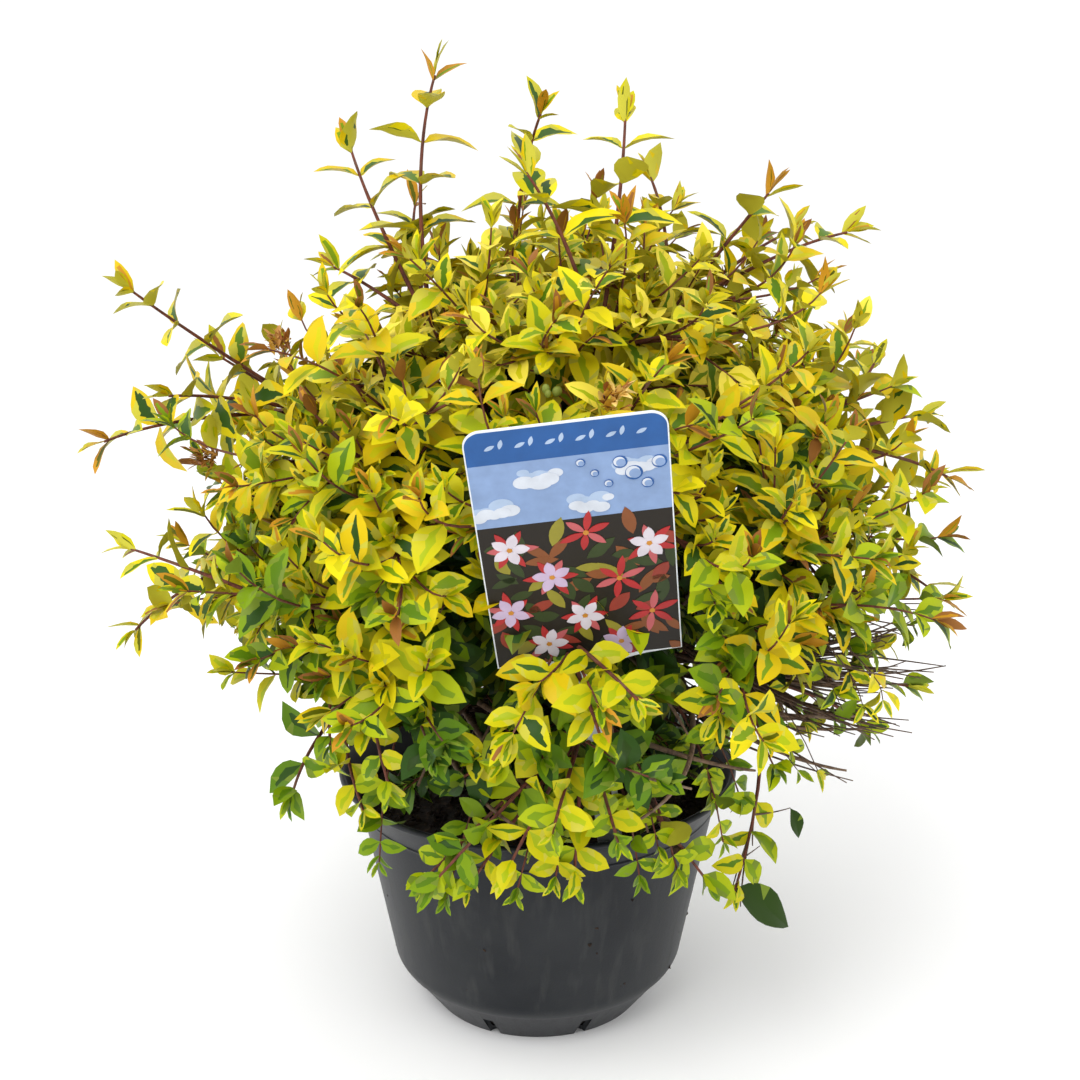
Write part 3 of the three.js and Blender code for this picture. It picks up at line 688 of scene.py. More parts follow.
def growTo(ends, skeleton, kind, settings, firstSeed):
    for k, end in enumerate(ends):
        random = seededRandom(firstSeed + k)
        yield kind, skeleton.attach(Vector(end), settings, random), random


def levelSpike(target, random):
    # out from a limb at its own height
    share = spikes["root"] * (spikes["rootLeast"] + spikes["rootVary"] * random())
    root = massLimbs.rootNear(Vector((target.x * share, target.y * share, target.z)))
    bend = (root + target) / 2 - upward * (spikes["rise"] * (target - root).length)
    return Limb(root, bend, target, spikes["radius"], wiry["tipRadius"])


def growWiry():
    for k in range(wiry["count"]):
        random = seededRandom(seeds["wiry"] + k)
        isSpike = k % spikes["every"] == 0
        plan = spikes if isSpike else wiry
        direction = directionOf(taper(*wiry["azimuths"], random()), taper(*plan["elevations"], random()))
        target = crownPoint(direction, taper(*plan["depth"], random()))
        if isSpike:
            curve = levelSpike(target, random)
        else:
            archLow = wiry["archVary"] * random() - wiry["archVary"] / 2
            curve = massLimbs.attach(target, dict(wiry, archLow=archLow), random)
        sideways = scatter(random)
        curve.bend = curve.bend + sideways * (2 * plan["sway"] * curve.length())
        yield "bare" if isSpike else "wiry", curve, random


def growCrossings():
    for start, bend, end in crossings:
        root = innerLimbs.rootNear(Vector(start))
        yield "bare", Limb(root, bend, end, canes["rootRadius"], canes["tipRadius"]), None


def openOnes(*growths):
    # those of the grown twigs that keep clear of pot and label
    return [twig for growth in growths for twig in growth if isOpen(twig[1], fine["clear"])]


innerLimbs = Skeleton(stemLimbs + boughLimbs)
massLimbs = Skeleton(massStems + boughLimbs)
coarseTwigs = openOnes(growCoarse())
coarseCurves = [curve for _, curve, _ in coarseTwigs]
limbsSoFar = Skeleton(massStems + coarseCurves)
lowTwigs = openOnes(growUnderwood())
fineTwigs = openOnes(growFrom(limbsSoFar, "fine", fine), growFrom(limbsSoFar, "outer", outer),
                     growFrom(innerLimbs, "shade", shade))
fineTwigs += [twig for twig in lowTwigs if twig[0] == "underwood"]
fineTwigs += openOnes(growTo(rimEnds, massLimbs, "rimShoot", rimShoots, seeds["rimShoot"]))
wiryTwigs = openOnes(growWiry())
wireEnds = [end for end, _ in hangingEnds]
wiryTwigs += growTo(wireEnds, Skeleton(coarseCurves), "bare", hanging, seeds["hanging"])
wiryTwigs += [twig for twig in lowTwigs if twig[0] == "bare"]
dryCanes = openOnes(growTo(caneEnds, innerLimbs, "bare", canes, seeds["canes"]), growCrossings())
print("twigs grown:", len(coarseTwigs), "coarse,", len(fineTwigs), "fine,", len(wiryTwigs), "wiry")


# Leaves: folded blades of a few faces in their own outline, margin and centre apart.

leafTones = {
    # paleYellowEdge is dealt only on the crest, where it is partly painted light.
    "paleYellowEdge": (232, 214, 70), "lemonEdge": (220, 204, 16), "goldEdge": (208, 180, 10),
    "yellowLimeEdge": (194, 186, 10), "limeEdge": (160, 174, 10), "orangeEdge": (190, 136, 34),
    "bronzeEdge": (146, 96, 44), "blueGreenHeart": (58, 92, 28), "deepGreenHeart": (42, 72, 16),
    # oliveLeaf, shadeLeaf and darkLeaf mostly give the inner leaves their painted shade; oliveLeaf is also a
    # bronze tip's heart.
    "midGreenHeart": (84, 118, 12), "freshGreenHeart": (116, 144, 12), "oliveLeaf": (92, 96, 8),
    "shadeLeaf": (40, 64, 10), "darkLeaf": (24, 46, 20), "paleLimeBack": (190, 184, 58),
    "paleGreenBack": (112, 132, 40),
}
leafSheen = {"roughness": 0.44, "gloss": 0.15}
leafFinishes = [newFinish(name, colour=colour, **leafSheen)[0] for name, colour in leafTones.items()]
leafSlot = {name: index for index, name in enumerate(leafTones)}

# Which margins and hearts a leaf may have, and how often, by where it grows. The margins run
# from sunny to shaded, and each spray keeps near one place in that order.
leafMixes = {
    # partly painted light: the crest's pale yellow margins brighten the top of the crown where light falls on
    # it, beside the plant's own yellow
    "crest": {
        "edge": {"paleYellowEdge": 36, "lemonEdge": 34, "goldEdge": 20, "yellowLimeEdge": 10},
        "heart": {"blueGreenHeart": 14, "deepGreenHeart": 4, "midGreenHeart": 24, "freshGreenHeart": 28,
                  "limeEdge": 30},
        "kind": {"marbled": 34, "streaked": 30, "clear": 36},
    },
    "sunny": {
        "edge": {"lemonEdge": 32, "goldEdge": 28, "yellowLimeEdge": 28, "limeEdge": 12},
        "heart": {"blueGreenHeart": 14, "deepGreenHeart": 8, "midGreenHeart": 28, "freshGreenHeart": 30,
                  "limeEdge": 20},
        "kind": {"marbled": 36, "streaked": 32, "clear": 32},
    },
    "side": {
        "edge": {"lemonEdge": 8, "goldEdge": 14, "yellowLimeEdge": 26, "limeEdge": 34, "freshGreenHeart": 18},
        "heart": {"blueGreenHeart": 12, "deepGreenHeart": 20, "midGreenHeart": 38, "freshGreenHeart": 30},
        "kind": {"marbled": 28, "streaked": 38, "clear": 34},
    },
    "low": {
        "edge": {"yellowLimeEdge": 14, "limeEdge": 24, "freshGreenHeart": 24, "midGreenHeart": 22,
                 "deepGreenHeart": 16},
        "heart": {"deepGreenHeart": 34, "midGreenHeart": 50, "freshGreenHeart": 16},
        "kind": {"marbled": 14, "streaked": 22, "clear": 64},
    },
    # painted shade: leaves deep inside the crown are dealt olive, shade and dark greens for the shade that
    # falls there
    "inner": {
        "edge": {"limeEdge": 8, "freshGreenHeart": 14, "oliveLeaf": 28, "shadeLeaf": 28, "darkLeaf": 22},
        "heart": {"midGreenHeart": 16, "deepGreenHeart": 84},
        "kind": {"plain": 1},
    },
    "under": {
        "edge": {"freshGreenHeart": 14, "midGreenHeart": 40, "deepGreenHeart": 46},
        "heart": {"deepGreenHeart": 60, "midGreenHeart": 40},
        "kind": {"streaked": 12, "clear": 88},
    },
    "fresh": {
        "edge": {"yellowLimeEdge": 16, "limeEdge": 52, "freshGreenHeart": 32},
        "heart": {"midGreenHeart": 64, "freshGreenHeart": 36},
        "kind": {"marbled": 10, "streaked": 32, "clear": 58},
    },
    "shoot": {
        "edge": {"lemonEdge": 30, "goldEdge": 28, "yellowLimeEdge": 42},
        "heart": {"blueGreenHeart": 44, "deepGreenHeart": 20, "midGreenHeart": 36},
        "kind": {"marbled": 62, "streaked": 20, "clear": 18},
    },
    "tip": {
        "edge": {"yellowLimeEdge": 22, "goldEdge": 24, "orangeEdge": 26, "bronzeEdge": 28},
        "heart": {"bronzeEdge": 22, "orangeEdge": 18, "oliveLeaf": 34, "freshGreenHeart": 26},
        "kind": {"tip": 1},
    },
}
# The tone beside the margin's own in a leaf without a marked heart.
besideTone = {
    "paleYellowEdge": "yellowLimeEdge", "lemonEdge": "yellowLimeEdge", "goldEdge": "yellowLimeEdge",
    "yellowLimeEdge": "limeEdge", "limeEdge": "freshGreenHeart", "freshGreenHeart": "midGreenHeart",
    "midGreenHeart": "deepGreenHeart", "deepGreenHeart": "shadeLeaf", "orangeEdge": "goldEdge",
    "bronzeEdge": "orangeEdge",
}
# The underside's tone: pale green, unless the margin is yellow or has its own tone all through.
backTone = dict.fromkeys(("paleYellowEdge", "lemonEdge", "goldEdge", "yellowLimeEdge"), "paleLimeBack")
backTone.update({name: name for name in ("orangeEdge", "bronzeEdge", "shadeLeaf", "darkLeaf")})
leafShape = {
    "length": 27.4, "widest": 0.42, "swell": 0.62, "halfWidth": 0.3, "fold": 0.26, "curl": 0.17,
    "bow": 0.05, "wave": 0.025, "wavePace": 5, "thickness": 0.012, "stalk": 0.06, "petiole": 0.016,
    "heartReach": 1.08, "heartLeast": 0.1, "heartMost": 0.86, "heartLift": 0.86, "heartShift": 0.02,
}
leafSizes = {"crest": 0.94, "sunny": 0.98, "side": 1.0, "low": 0.96, "inner": 1.04, "under": 0.9,
             "fresh": 1.0, "shoot": 1.04, "tip": 1.0}
# Where each zone begins: by depth for the inside, else by how steeply the place lies. The inside, whose
# leaves get darker greens as painted shade, reaches further out on the sides and underneath than on top.
leafZones = {"innerHigh": 0.68, "innerSide": 0.78, "highAbove": 0.3, "crestAbove": 0.62, "sunnyAbove": 0.22,
             "freshBelow": 184}
bronzeTips = {"longShoot": 0.85, "outer": 0.6, "spray": 0.4, "fine": 0.26}
tipLeaves = {"bronzeWithin": 6, "narrowWithin": 4}


class LeafForm:
    # one blade along X with its face up: root, tip, and rows of edge, heart and midrib points
    def __init__(self, plan, number):
        stations, seed = leafStations[plan["stations"]], plan["seed"] + number
        narrow = plan["narrow"][0] + plan["narrow"][1] * number
        curl = plan["curl"][0] + plan["curl"][1] * number
        random = seededRandom(seed)
        shape, rows = leafShape, [(0.0, 0.0, 0.0)]
        closingPower = shape["swell"] * (1 - shape["widest"]) / shape["widest"]
        for index, along in enumerate(stations):
            share = max(0.0, (along - shape["stalk"]) / (1 - shape["stalk"]))
            swell = (share / shape["widest"]) ** shape["swell"]
            closing = ((1 - share) / (1 - shape["widest"])) ** closingPower
            half = max(shape["petiole"], shape["halfWidth"] * narrow * swell * closing)
            drop = -shape["curl"] * curl * along ** 2 + shape["bow"] * math.sin(math.pi * along)
            wave = shape["wave"] * math.sin(shape["wavePace"] * index + seed)
            reach = math.sin(math.pi * min(1, along * shape["heartReach"])) ** 0.5
            lift = shape["fold"] * half
            row = []
            for side in (1, -1):
                inner = 0.5
                if plan["heart"]:
                    inner = reach * (plan["heart"] + plan["jag"] * (2 * random() - 1))
                    inner = min(shape["heartMost"], max(shape["heartLeast"], inner))
                row.append((along, side * half, drop + lift + side * wave))
                row.append((along + shape["heartShift"] * (random() - 0.5), side * half * inner,
                            drop + lift * inner * shape["heartLift"]))
            low = (along, 0.0, drop - shape["thickness"])
            rows += [row[0], row[1], (along, 0.0, drop), row[3], row[2], low]
        rows.append((1.0, 0.0, -shape["curl"] * curl))
        self.points = np.array(rows)
        self.makeFaces(len(stations))

    def makeFaces(self, count):
        # zone 0 is the margin, 1 the heart and 2 the underside
        faces, zones = [], []

        def face(zone, *corners):
            for k in range(1, len(corners) - 1):
                faces.append((corners[0], corners[k], corners[k + 1]))
                zones.append(zone)
        tip = 6 * count + 1
        rowsOfCorners = [[1 + 6 * index + k for k in range(6)] for index in range(count)]
        a, b, c, d, e, under = rowsOfCorners[0]
        for zone, first, second in ((0, b, a), (1, c, b), (1, d, c), (0, e, d), (2, a, under), (2, under, e)):
            face(zone, 0, first, second)
        for near, far in zip(rowsOfCorners, rowsOfCorners[1:]):
            for k, zone in enumerate((0, 1, 1, 0)):
                face(zone, near[k], near[k + 1], far[k + 1], far[k])
            face(2, near[0], far[0], far[5], near[5])
            face(2, near[5], far[5], far[4], near[4])
        a, b, c, d, e, under = rowsOfCorners[-1]
        for zone, first, second in ((0, a, b), (0, b, c), (0, c, d), (0, d, e), (2, under, a), (2, e, under)):
            face(zone, tip, first, second)
        self.faces, self.zones = np.array(faces), np.array(zones)
        self.creases = np.zeros(tip + 1, bool)
        self.creases[[0, tip] + [row[side] for row in rowsOfCorners for side in (0, 4)]] = True


# Where a blade's rows of corners lie along it, and the forms of each kind of leaf: how wide the
# heart is and how ragged, then the first form's narrowness and curl and what each next form adds.
leafStations = {
    "many": [0.08, 0.18, 0.31, 0.45, 0.59, 0.73, 0.88],
    "some": [0.08, 0.21, 0.38, 0.57, 0.77],
    "few": [0.1, 0.3, 0.55, 0.8],
}
leafKinds = {
    "marbled": {"stations": "many", "count": 5, "seed": 11, "heart": 0.54, "jag": 0.3, "narrow": (0.84, 0.05),
                "curl": (0.6, 0.3)},
    "streaked": {"stations": "many", "count": 4, "seed": 31, "heart": 0.24, "jag": 0.18,
                 "narrow": (0.8, 0.08), "curl": (0.5, 0.4)},
    "clear": {"stations": "some", "count": 4, "seed": 91, "heart": 0.3, "jag": 0.2, "narrow": (1, 0),
              "curl": (0.4, 0.4)},
    "plain": {"stations": "few", "count": 3, "seed": 51, "heart": 0, "narrow": (1, 0), "curl": (0.5, 0.5)},
    "tip": {"stations": "few", "count": 3, "seed": 71, "heart": 0, "narrow": (0.56, 0), "curl": (-0.4, 0.5)},
}
leafForms = {kind: [LeafForm(plan, k) for k in range(plan["count"])] for kind, plan in leafKinds.items()}
thickLimbs = Skeleton(stemLimbs + boughLimbs + [caneLimb], 0, 1, 39)
leafClear = {"limb": 0.4, "pot": 0.6, "label": 0.8}
clusterSights = [(Vector(place), (camera["place"] - Vector(place)).normalized())
                 for place in clusters["bracts"] + clusters["buds"] if place[1] < 0]


def dealt(mix, draw):
    # the entry of a mix that a draw between 0 and 1 falls on
    draw = min(0.999, max(0, draw)) * sum(mix.values())
    for name, weight in mix.items():
        draw -= weight
        if draw <= 0:
            return name
    return name


def hidesCluster(point):
    # whether a point lies between the camera and a cluster on this side of the crown
    for place, sight in clusterSights:
        ahead = (point - place).dot(sight)
        if ahead > -clusters["sight"] and (point - place - sight * ahead).length < clusters["sight"]:
            return True
    return False


def leafFits(corners):
    # the root may sit on its twig; the rest keeps clear of pot, label and thick limbs
    for point in map(Vector, corners):
        _, index, distance = thickLimbs.tree.find(point)
        limb, share = thickLimbs.places[index]
        if hidesCluster(point) or distance < limb.radius(share) + leafClear["limb"]:
            return False
        if not clearOfPot(point, leafClear["pot"]) or not clearOfLabel(point, leafClear["label"]):
            return False
    return True


def pieceOf(mass):
    return "leaves_" + mass["ring"]["name"] + ("_front" if mass["centre"].y < 0 else "_back")


leafHeaps = {pieceOf(mass): Heap() for mass in masses}
leafCount = {"placed": 0, "skipped": 0}


def placeLeaf(root, axis, face, size, form, tones):
    side = face.cross(axis).normalized()
    turn = np.array([axis, side, axis.cross(side).normalized()])
    corners = form.points @ turn * (leafShape["length"] * size) + np.array(root)
    # every fourth corner is tried, from a third of the way on
    if not leafFits(corners[len(corners) // 3::4]):
        leafCount["skipped"] += 1
        return
    middle = root + axis * (leafShape["length"] * size / 2)
    slots = np.array([leafSlot[name] for name in tones])
    leafHeaps[pieceOf(nearestMass(middle))].add(corners, form.faces, slots[form.zones], form.creases)
    leafCount["placed"] += 1


def leafZone(kind, root):
    steepness = (root - crown["heart"]).normalized().z
    zone = "side" if steepness > -leafZones["sunnyAbove"] else "low"
    if shareOf(root) < leafZones["innerHigh" if steepness > leafZones["highAbove"] else "innerSide"]:
        zone = "inner"
    elif steepness > leafZones["crestAbove"]:
        zone = "crest"
    elif steepness > leafZones["sunnyAbove"]:
        zone = "sunny"
    if kind == "lowShoot" and root.z < leafZones["freshBelow"]:
        zone = "fresh"
    if kind == "longShoot" and zone != "low":
        zone = "shoot"
    return {"wiry": "side", "underwood": "under", "rimShoot": "fresh"}.get(kind, zone)


def chooseLeaf(kind, root, fromTip, mood, random):
    zone = leafZone(kind, root)
    mayBeBronze = fromTip < tipLeaves["bronzeWithin"] and zone in ("crest", "sunny", "side", "shoot")
    if mayBeBronze and random() < bronzeTips.get(kind, 0):
        zone = "tip"
    mix = leafMixes[zone]
    edge = dealt(mix["edge"], mood + moods["vary"] * (random() - 0.5))
    heart = dealt(mix["heart"], random())
    pattern = dealt(mix["kind"], random())
    if pattern == "clear":
        heart = besideTone[edge]
    forms = leafForms["tip" if fromTip < tipLeaves["narrowWithin"] and pattern != "plain" else pattern]
    tones = (edge, heart, backTone.get(edge, "paleGreenBack"))
    return forms[int(random() * len(forms))], tones, leafSizes[zone]


# How pairs stand along each kind of shoot: distance from the tip, size, and spread in degrees.
pairPlans = {
    "spray": [(0, 0.6, 18), (5, 0.72, 38), (20, 0.95, 52), (38, 1.06, 58), (57, 1.08, 62), (77, 1.04, 64)],
    "fine": [(0, 0.56, 20), (5, 0.68, 38), (18, 0.9, 52), (34, 1.02, 58), (52, 1.04, 62), (71, 1.0, 64)],
    "outer": [(0, 0.62, 18), (4, 0.74, 34), (18, 0.82, 52), (35, 0.96, 58), (54, 1.04, 60), (74, 1.04, 62),
              (95, 1.0, 64)],
    "longShoot": [(0, 0.7, 14), (5, 0.84, 34), (24, 0.96, 60), (47, 1.16, 72), (72, 1.24, 76), (98, 1.2, 74),
                  (124, 1.14, 70)],
    "lowShoot": [(0, 0.5, 30), (5, 0.64, 48), (18, 0.8, 60), (34, 0.88, 62), (52, 0.86, 64)],
    "shade": [(0, 0.7, 30), (8, 0.9, 50), (24, 1.0, 58), (42, 1.04, 62), (61, 1.0, 64)],
    "underwood": [(0, 0.6, 34), (9, 0.8, 52), (24, 0.9, 60), (40, 0.9, 64)],
    "rimShoot": [(0, 0.36, 28), (3, 0.5, 48), (9, 0.6, 62), (20, 0.64, 66), (34, 0.6, 66)],
    "wiry": [(0, 0.48, 40), (12, 0.6, 52), (27, 0.64, 58)],
}
pairTurn = {"cross": 86, "vary": 34, "spreadVary": 20, "sizeVary": 0.26, "lean": 0.45, "firstShare": 0.2}
untidiness = {"longShoot": 1.1, "outer": 0.7, "usual": 0.5}
wiryBare = 0.66
# How far a shoot's mood shifts its margins towards the shaded ones, and how far its leaves differ.
moods = {"longShoot": 0.55, "lowShoot": 0.55, "vary": 0.5}


def bareShareOf(kind, root):
    # how many leaf pairs are missing on this kind of shoot at this place
    if kind in ("spray", "fine", "outer"):
        return sum(bare for _, _, bare in placesAt((root - crown["heart"]).normalized()))
    return wiryBare if kind == "wiry" else 0


def dressTwig(kind, curve, random):
    length = curve.length()
    mood = random() * moods.get(kind, 1)
    for pair, (fromTip, size, spread) in enumerate(pairPlans[kind]):
        share = 1 - fromTip / length
        if share < pairTurn["firstShare"]:
            break
        root = curve.at(share)
        if random() < bareShareOf(kind, root):
            continue
        heading = curve.heading(share)
        light = ((root - crown["heart"]).normalized() + upward).normalized()
        side = heading.cross(light).normalized()
        rise = side.cross(heading).normalized()
        roll = math.radians((pair % 2) * pairTurn["cross"] + (random() - 0.5) * pairTurn["vary"])
        for way in (-1, 1):
            angle = math.radians(spread + (random() - 0.5) * pairTurn["spreadVary"])
            outward = side * (math.cos(roll) * way) + rise * (math.sin(roll) * way)
            axis = (heading * math.cos(angle) + outward * math.sin(angle)).normalized()
            untidy = scatter(random) * untidiness.get(kind, untidiness["usual"])
            face = (light + heading * pairTurn["lean"] + untidy).normalized()
            form, tones, zoneSize = chooseLeaf(kind, root, fromTip, mood, random)
            leafSize = size * zoneSize * (1 + (random() - 0.5) * pairTurn["sizeVary"])
            placeLeaf(root, axis, face, leafSize, form, tones)


for number, stem in enumerate(massStems):
    dressTwig("fine", stem, seededRandom(number + 1))
for kind, curve, random in coarseTwigs + fineTwigs + wiryTwigs:
    if kind != "bare":
        dressTwig(kind, curve, random)
hangingLeaf = {"tones": ("shadeLeaf", "shadeLeaf", "paleGreenBack"), "face": Vector((0.5, -1, 0.9))}
for end, leafTip in hangingEnds:
    if leafTip:
        axis = Vector(leafTip) - Vector(end)
        leafSize = axis.length / leafShape["length"]
        placeLeaf(Vector(end), axis.normalized(), hangingLeaf["face"], leafSize, leafForms["streaked"][0],
                  hangingLeaf["tones"])
for name, heap in leafHeaps.items():
    nodes = ["foliage_" + mass["name"] for mass in masses if pieceOf(mass) == name]
    settle(heap.build(name, leafFinishes), nodes)
print("leaves placed:", leafCount["placed"], "skipped:", leafCount["skipped"])


# Limbs and twigs: paths with a thickness, skinned by one geometry tree.

barkSkin = {"sides": 16, "relief": 0.12, "grain": 330.0, "stretch": 0.28}
twigSkin = {"sides": 5, "relief": 0.0, "grain": 500.0, "stretch": 0.5}
skinDetail = 3.0
# How much the bark swells at a pair of buds, and how far apart the pairs are.
joints = {"swell": 0.16, "sharpness": 6, "bough": 24, "twig": 26, "cane": 22}
# Into how many lengths each kind of limb is cut.
limbSteps = {"stem": 46, "oldCane": 60, "bough": 44, "massStem": 14, "longShoot": 18, "twig": 7,
             "wiry": 9, "cane": 24}
barkLook = {"roughness": 0.8, "stretch": 0.3, "fibres": 420.0, "patches": 70.0, "lichenFrom": 0.55,
            "lichenTo": 0.7, "lichen": 0.6, "bump": 0.5, "depth": 0.0006}


def pathObject(name, paths):
    # chains of edges, each corner with the radius that the skin has there
    corners, edges, radii = [], [], []
    for points in paths:
        first = len(corners)
        corners += [place * mm for place, _ in points]
        radii += [radius * mm for _, radius in points]
        edges += [(k, k + 1) for k in range(first, len(corners) - 1)]
    mesh = bpy.data.meshes.new(name)
    mesh.from_pydata(corners, edges, [])
    mesh.attributes.new("thickness", "FLOAT", "POINT").data.foreach_set("value", radii)
    return newObject(name, mesh)


def skinTree(name, material):
    graph, given = startTree(name, {"Sides": "Int", "Relief": "Float", "Grain": "Float", "Stretch": "Float"})
    radius = graph.node("GeometryNodeInputNamedAttribute", {"Name": "thickness"}, data_type="FLOAT")
    curve = graph.node("GeometryNodeMeshToCurve", {"Mesh": given["Geometry"]})
    circle = {"Resolution": given["Sides"], "Radius": 1.0}
    ring = graph.node("GeometryNodeCurvePrimitiveCircle", circle, mode="RADIUS")
    sweep = {"Curve": curve, "Profile Curve": ring, "Scale": radius, "Fill Caps": True}
    skin = graph.node("GeometryNodeCurveToMesh", sweep)
    place = graph.node("GeometryNodeInputPosition")
    along = graph.node("ShaderNodeCombineXYZ", {"X": 1.0, "Y": 1.0, "Z": given["Stretch"]})
    drawn = graph.node("ShaderNodeVectorMath", {0: place, 1: along}, operation="MULTIPLY")
    height = (graph.noise(drawn, given["Grain"], skinDetail) - 0.5) * radius * given["Relief"] * 2
    normal = graph.node("GeometryNodeInputNormal")
    offset = graph.node("ShaderNodeVectorMath", {0: normal, "Scale": height}, operation="SCALE")
    skin = graph.node("GeometryNodeSetPosition", {"Geometry": skin, "Offset": offset})
    skin = graph.node("GeometryNodeSetShadeSmooth", {"Geometry": skin})
    return endTree(graph, skin, material)


def skinned(name, paths, material, settings):
    return madeBy(skinTree(name + "_skin", material), pathObject(name, paths), settings)


def pathAlong(limb, count, radiusAt=None):
    radiusAt = radiusAt or limb.radius
    return [(limb.at(k / count), radiusAt(k / count)) for k in range(count + 1)]


def stemRadius(share):
    flare = 1 + (stems["flare"] - 1) * max(0, 1 - share / stems["flareEnd"]) ** 2
    return taper(stems["footRadius"], stems["tipRadius"], share) * flare


def jointedPath(limb, count, spacing):
    # the bark swells a little where pairs of buds stand
    length = limb.length()

    def radiusAt(share):
        wave = math.cos(2 * math.pi * share * length / spacing)
        return limb.radius(share) * (1 + joints["swell"] * max(0, wave) ** joints["sharpness"])
    return pathAlong(limb, count, radiusAt)


def barkFinish(name, darker, lighter, lichen):
    material, graph, sockets = newFinish(name, barkLook["roughness"])
    place = graph.objectPlace()
    fibres = graph.noise(graph.stretched(place, barkLook["stretch"]), barkLook["fibres"], 6.0)
    patches = graph.noise(place, barkLook["patches"], 2.0)
    colour = graph.ramp(fibres, (0.3, darker), (0.7, lighter))
    grey = graph.mask(patches, barkLook["lichenFrom"], barkLook["lichenTo"]) * barkLook["lichen"]
    graph.feed(sockets["Base Color"], graph.blend(grey, colour, tone(*lichen)))
    graph.feed(sockets["Normal"], graph.bump(barkLook["bump"], barkLook["depth"], fibres))
    return material


oldBark = barkFinish("old_bark", (52, 36, 28), (112, 82, 62), (134, 118, 104))
youngBark = barkFinish("young_bark", (70, 34, 26), (122, 62, 42), (112, 84, 66))
dryBark = barkFinish("dry_bark", (52, 36, 28), (100, 74, 56), (122, 106, 92))
caneBark = barkFinish("cane_bark", (74, 56, 43), (136, 108, 84), (156, 136, 116))

stemPaths = [pathAlong(limb, limbSteps["stem"], stemRadius) for limb in stemLimbs]
canePath = pathAlong(caneLimb, limbSteps["oldCane"])
canePath[-2:] = [(place, radius * oldCane["knob"]) for place, radius in canePath[-2:]]
stemsPiece = skinned("stems_and_cane", stemPaths + [canePath], oldBark, barkSkin)
settle(stemsPiece, ["stem_" + str(k + 1) for k in range(stems["count"])] + ["old_cane"])

boughPaths = [jointedPath(limb, limbSteps["bough"], joints["bough"]) for limb in boughLimbs]
boughsPiece = skinned("boughs", boughPaths, oldBark, barkSkin)
settle(boughsPiece, ["bough_" + mass["name"] for mass in masses])

twigPaths = [jointedPath(stem, limbSteps["massStem"], joints["bough"]) for stem in massStems]
for kind, curve, _ in coarseTwigs + fineTwigs:
    twigPaths.append(jointedPath(curve, limbSteps.get(kind, limbSteps["twig"]), joints["twig"]))
settle(skinned("twigs", twigPaths, youngBark, twigSkin), [])

wiryPaths = [pathAlong(curve, limbSteps["wiry"]) for _, curve, _ in wiryTwigs]
settle(skinned("wiry_twigs", wiryPaths, dryBark, dict(twigSkin, sides=4)), [])

canePaths = [jointedPath(curve, limbSteps["cane"], joints["cane"]) for _, curve, _ in dryCanes]
settle(skinned("dry_canes", canePaths, caneBark, dict(barkSkin, sides=9)), [])


# The pot: a turned wall with a rolled lip, a seam and drain holes.

drainHoles = {"count": 8, "radius": 3.6, "height": 4.6, "depth": 30, "tilt": -54, "sides": 20}
potCurves = {"footRound": 1, "bendRadius": 19, "bendIn": 19.4, "bendUp": 6.4, "bendFrom": -52, "bendTo": -10,
             "footIn": 9, "footEdge": 8, "seamRound": 0.8, "seamFrom": -80, "seamTo": 60, "lipIn": 3.2,
             "lipFrom": -50, "lipTo": 150, "crispAngle": 38}
potLook = {
    "roughness": 0.42, "gloss": 0.28, "dark": (12, 16, 22), "light": (22, 26, 32), "dustTone": (88, 88, 85),
    "smudgeTone": (13, 12, 13), "stretch": 0.12, "streaks": 120.0, "clouds": 16.0, "grain": 900.0,
    "streakRange": (0.52, 0.78), "cloudRange": (0.4, 0.75), "streakDust": 0.42, "cloudDust": 0.24,
    "dust": 0.33, "lowDust": 0.35, "dustTop": 0.16, "smudges": 17.0, "smudgeRange": (0.2, 0.09),
    "smudge": 0.8, "smudgeFrom": 0.2, "cleanRoughness": 0.36, "dustRoughness": 0.5, "grainRoughness": 0.1,
    "bump": 0.25, "depth": 0.0003,
}


def arcOf(centre, radius, first, last, steps):
    # points round a centre in the half section, between two angles in degrees
    angles = [math.radians(taper(first, last, k / steps)) for k in range(steps + 1)]
    return [(centre[0] + radius * math.cos(a), centre[1] + radius * math.sin(a)) for a in angles]


def potProfile():
    foot, shoulder, seam, rim = (pot[key + "Radius"] for key in ("foot", "shoulder", "seam", "rim"))
    seamHeight, step, wall = pot["seamHeight"], pot["seamStep"], pot["wall"]
    lip, curves = pot["rimLip"] / 2, potCurves
    bendFrom = curves["bendFrom"]
    bendCentre = (shoulder - curves["bendIn"], pot["shoulderHeight"] + curves["bendUp"])
    outside = [(0, pot["hollow"]), (foot - curves["footIn"], pot["hollow"]), (foot - curves["footEdge"], 0)]
    outside += arcOf((foot - 1, 1), curves["footRound"], -90, bendFrom, 3)
    outside += arcOf(bendCentre, curves["bendRadius"], bendFrom, curves["bendTo"], 10)
    outside += [(seam - step - 0.3, seamHeight - 3), (seam - step, seamHeight - 1.6)]
    outside += arcOf((seam - curves["seamRound"], seamHeight), curves["seamRound"], curves["seamFrom"],
                     curves["seamTo"], 5)
    outside += [(rim - curves["lipIn"], pot["rimHeight"] - 5)]
    outside += arcOf((rim - lip, pot["rimHeight"] - lip), lip, curves["lipFrom"], curves["lipTo"], 9)
    inside = [(rim - pot["rimLip"] - 1, pot["rimHeight"] - 3.4), (seam - wall, seamHeight - step)]
    inside += [(shoulder - 1.2 * wall, pot["shoulderHeight"] + wall / 2)]
    inside += [(foot - wall / 2, pot["floor"]), (0, pot["floor"])]
    return outside + inside


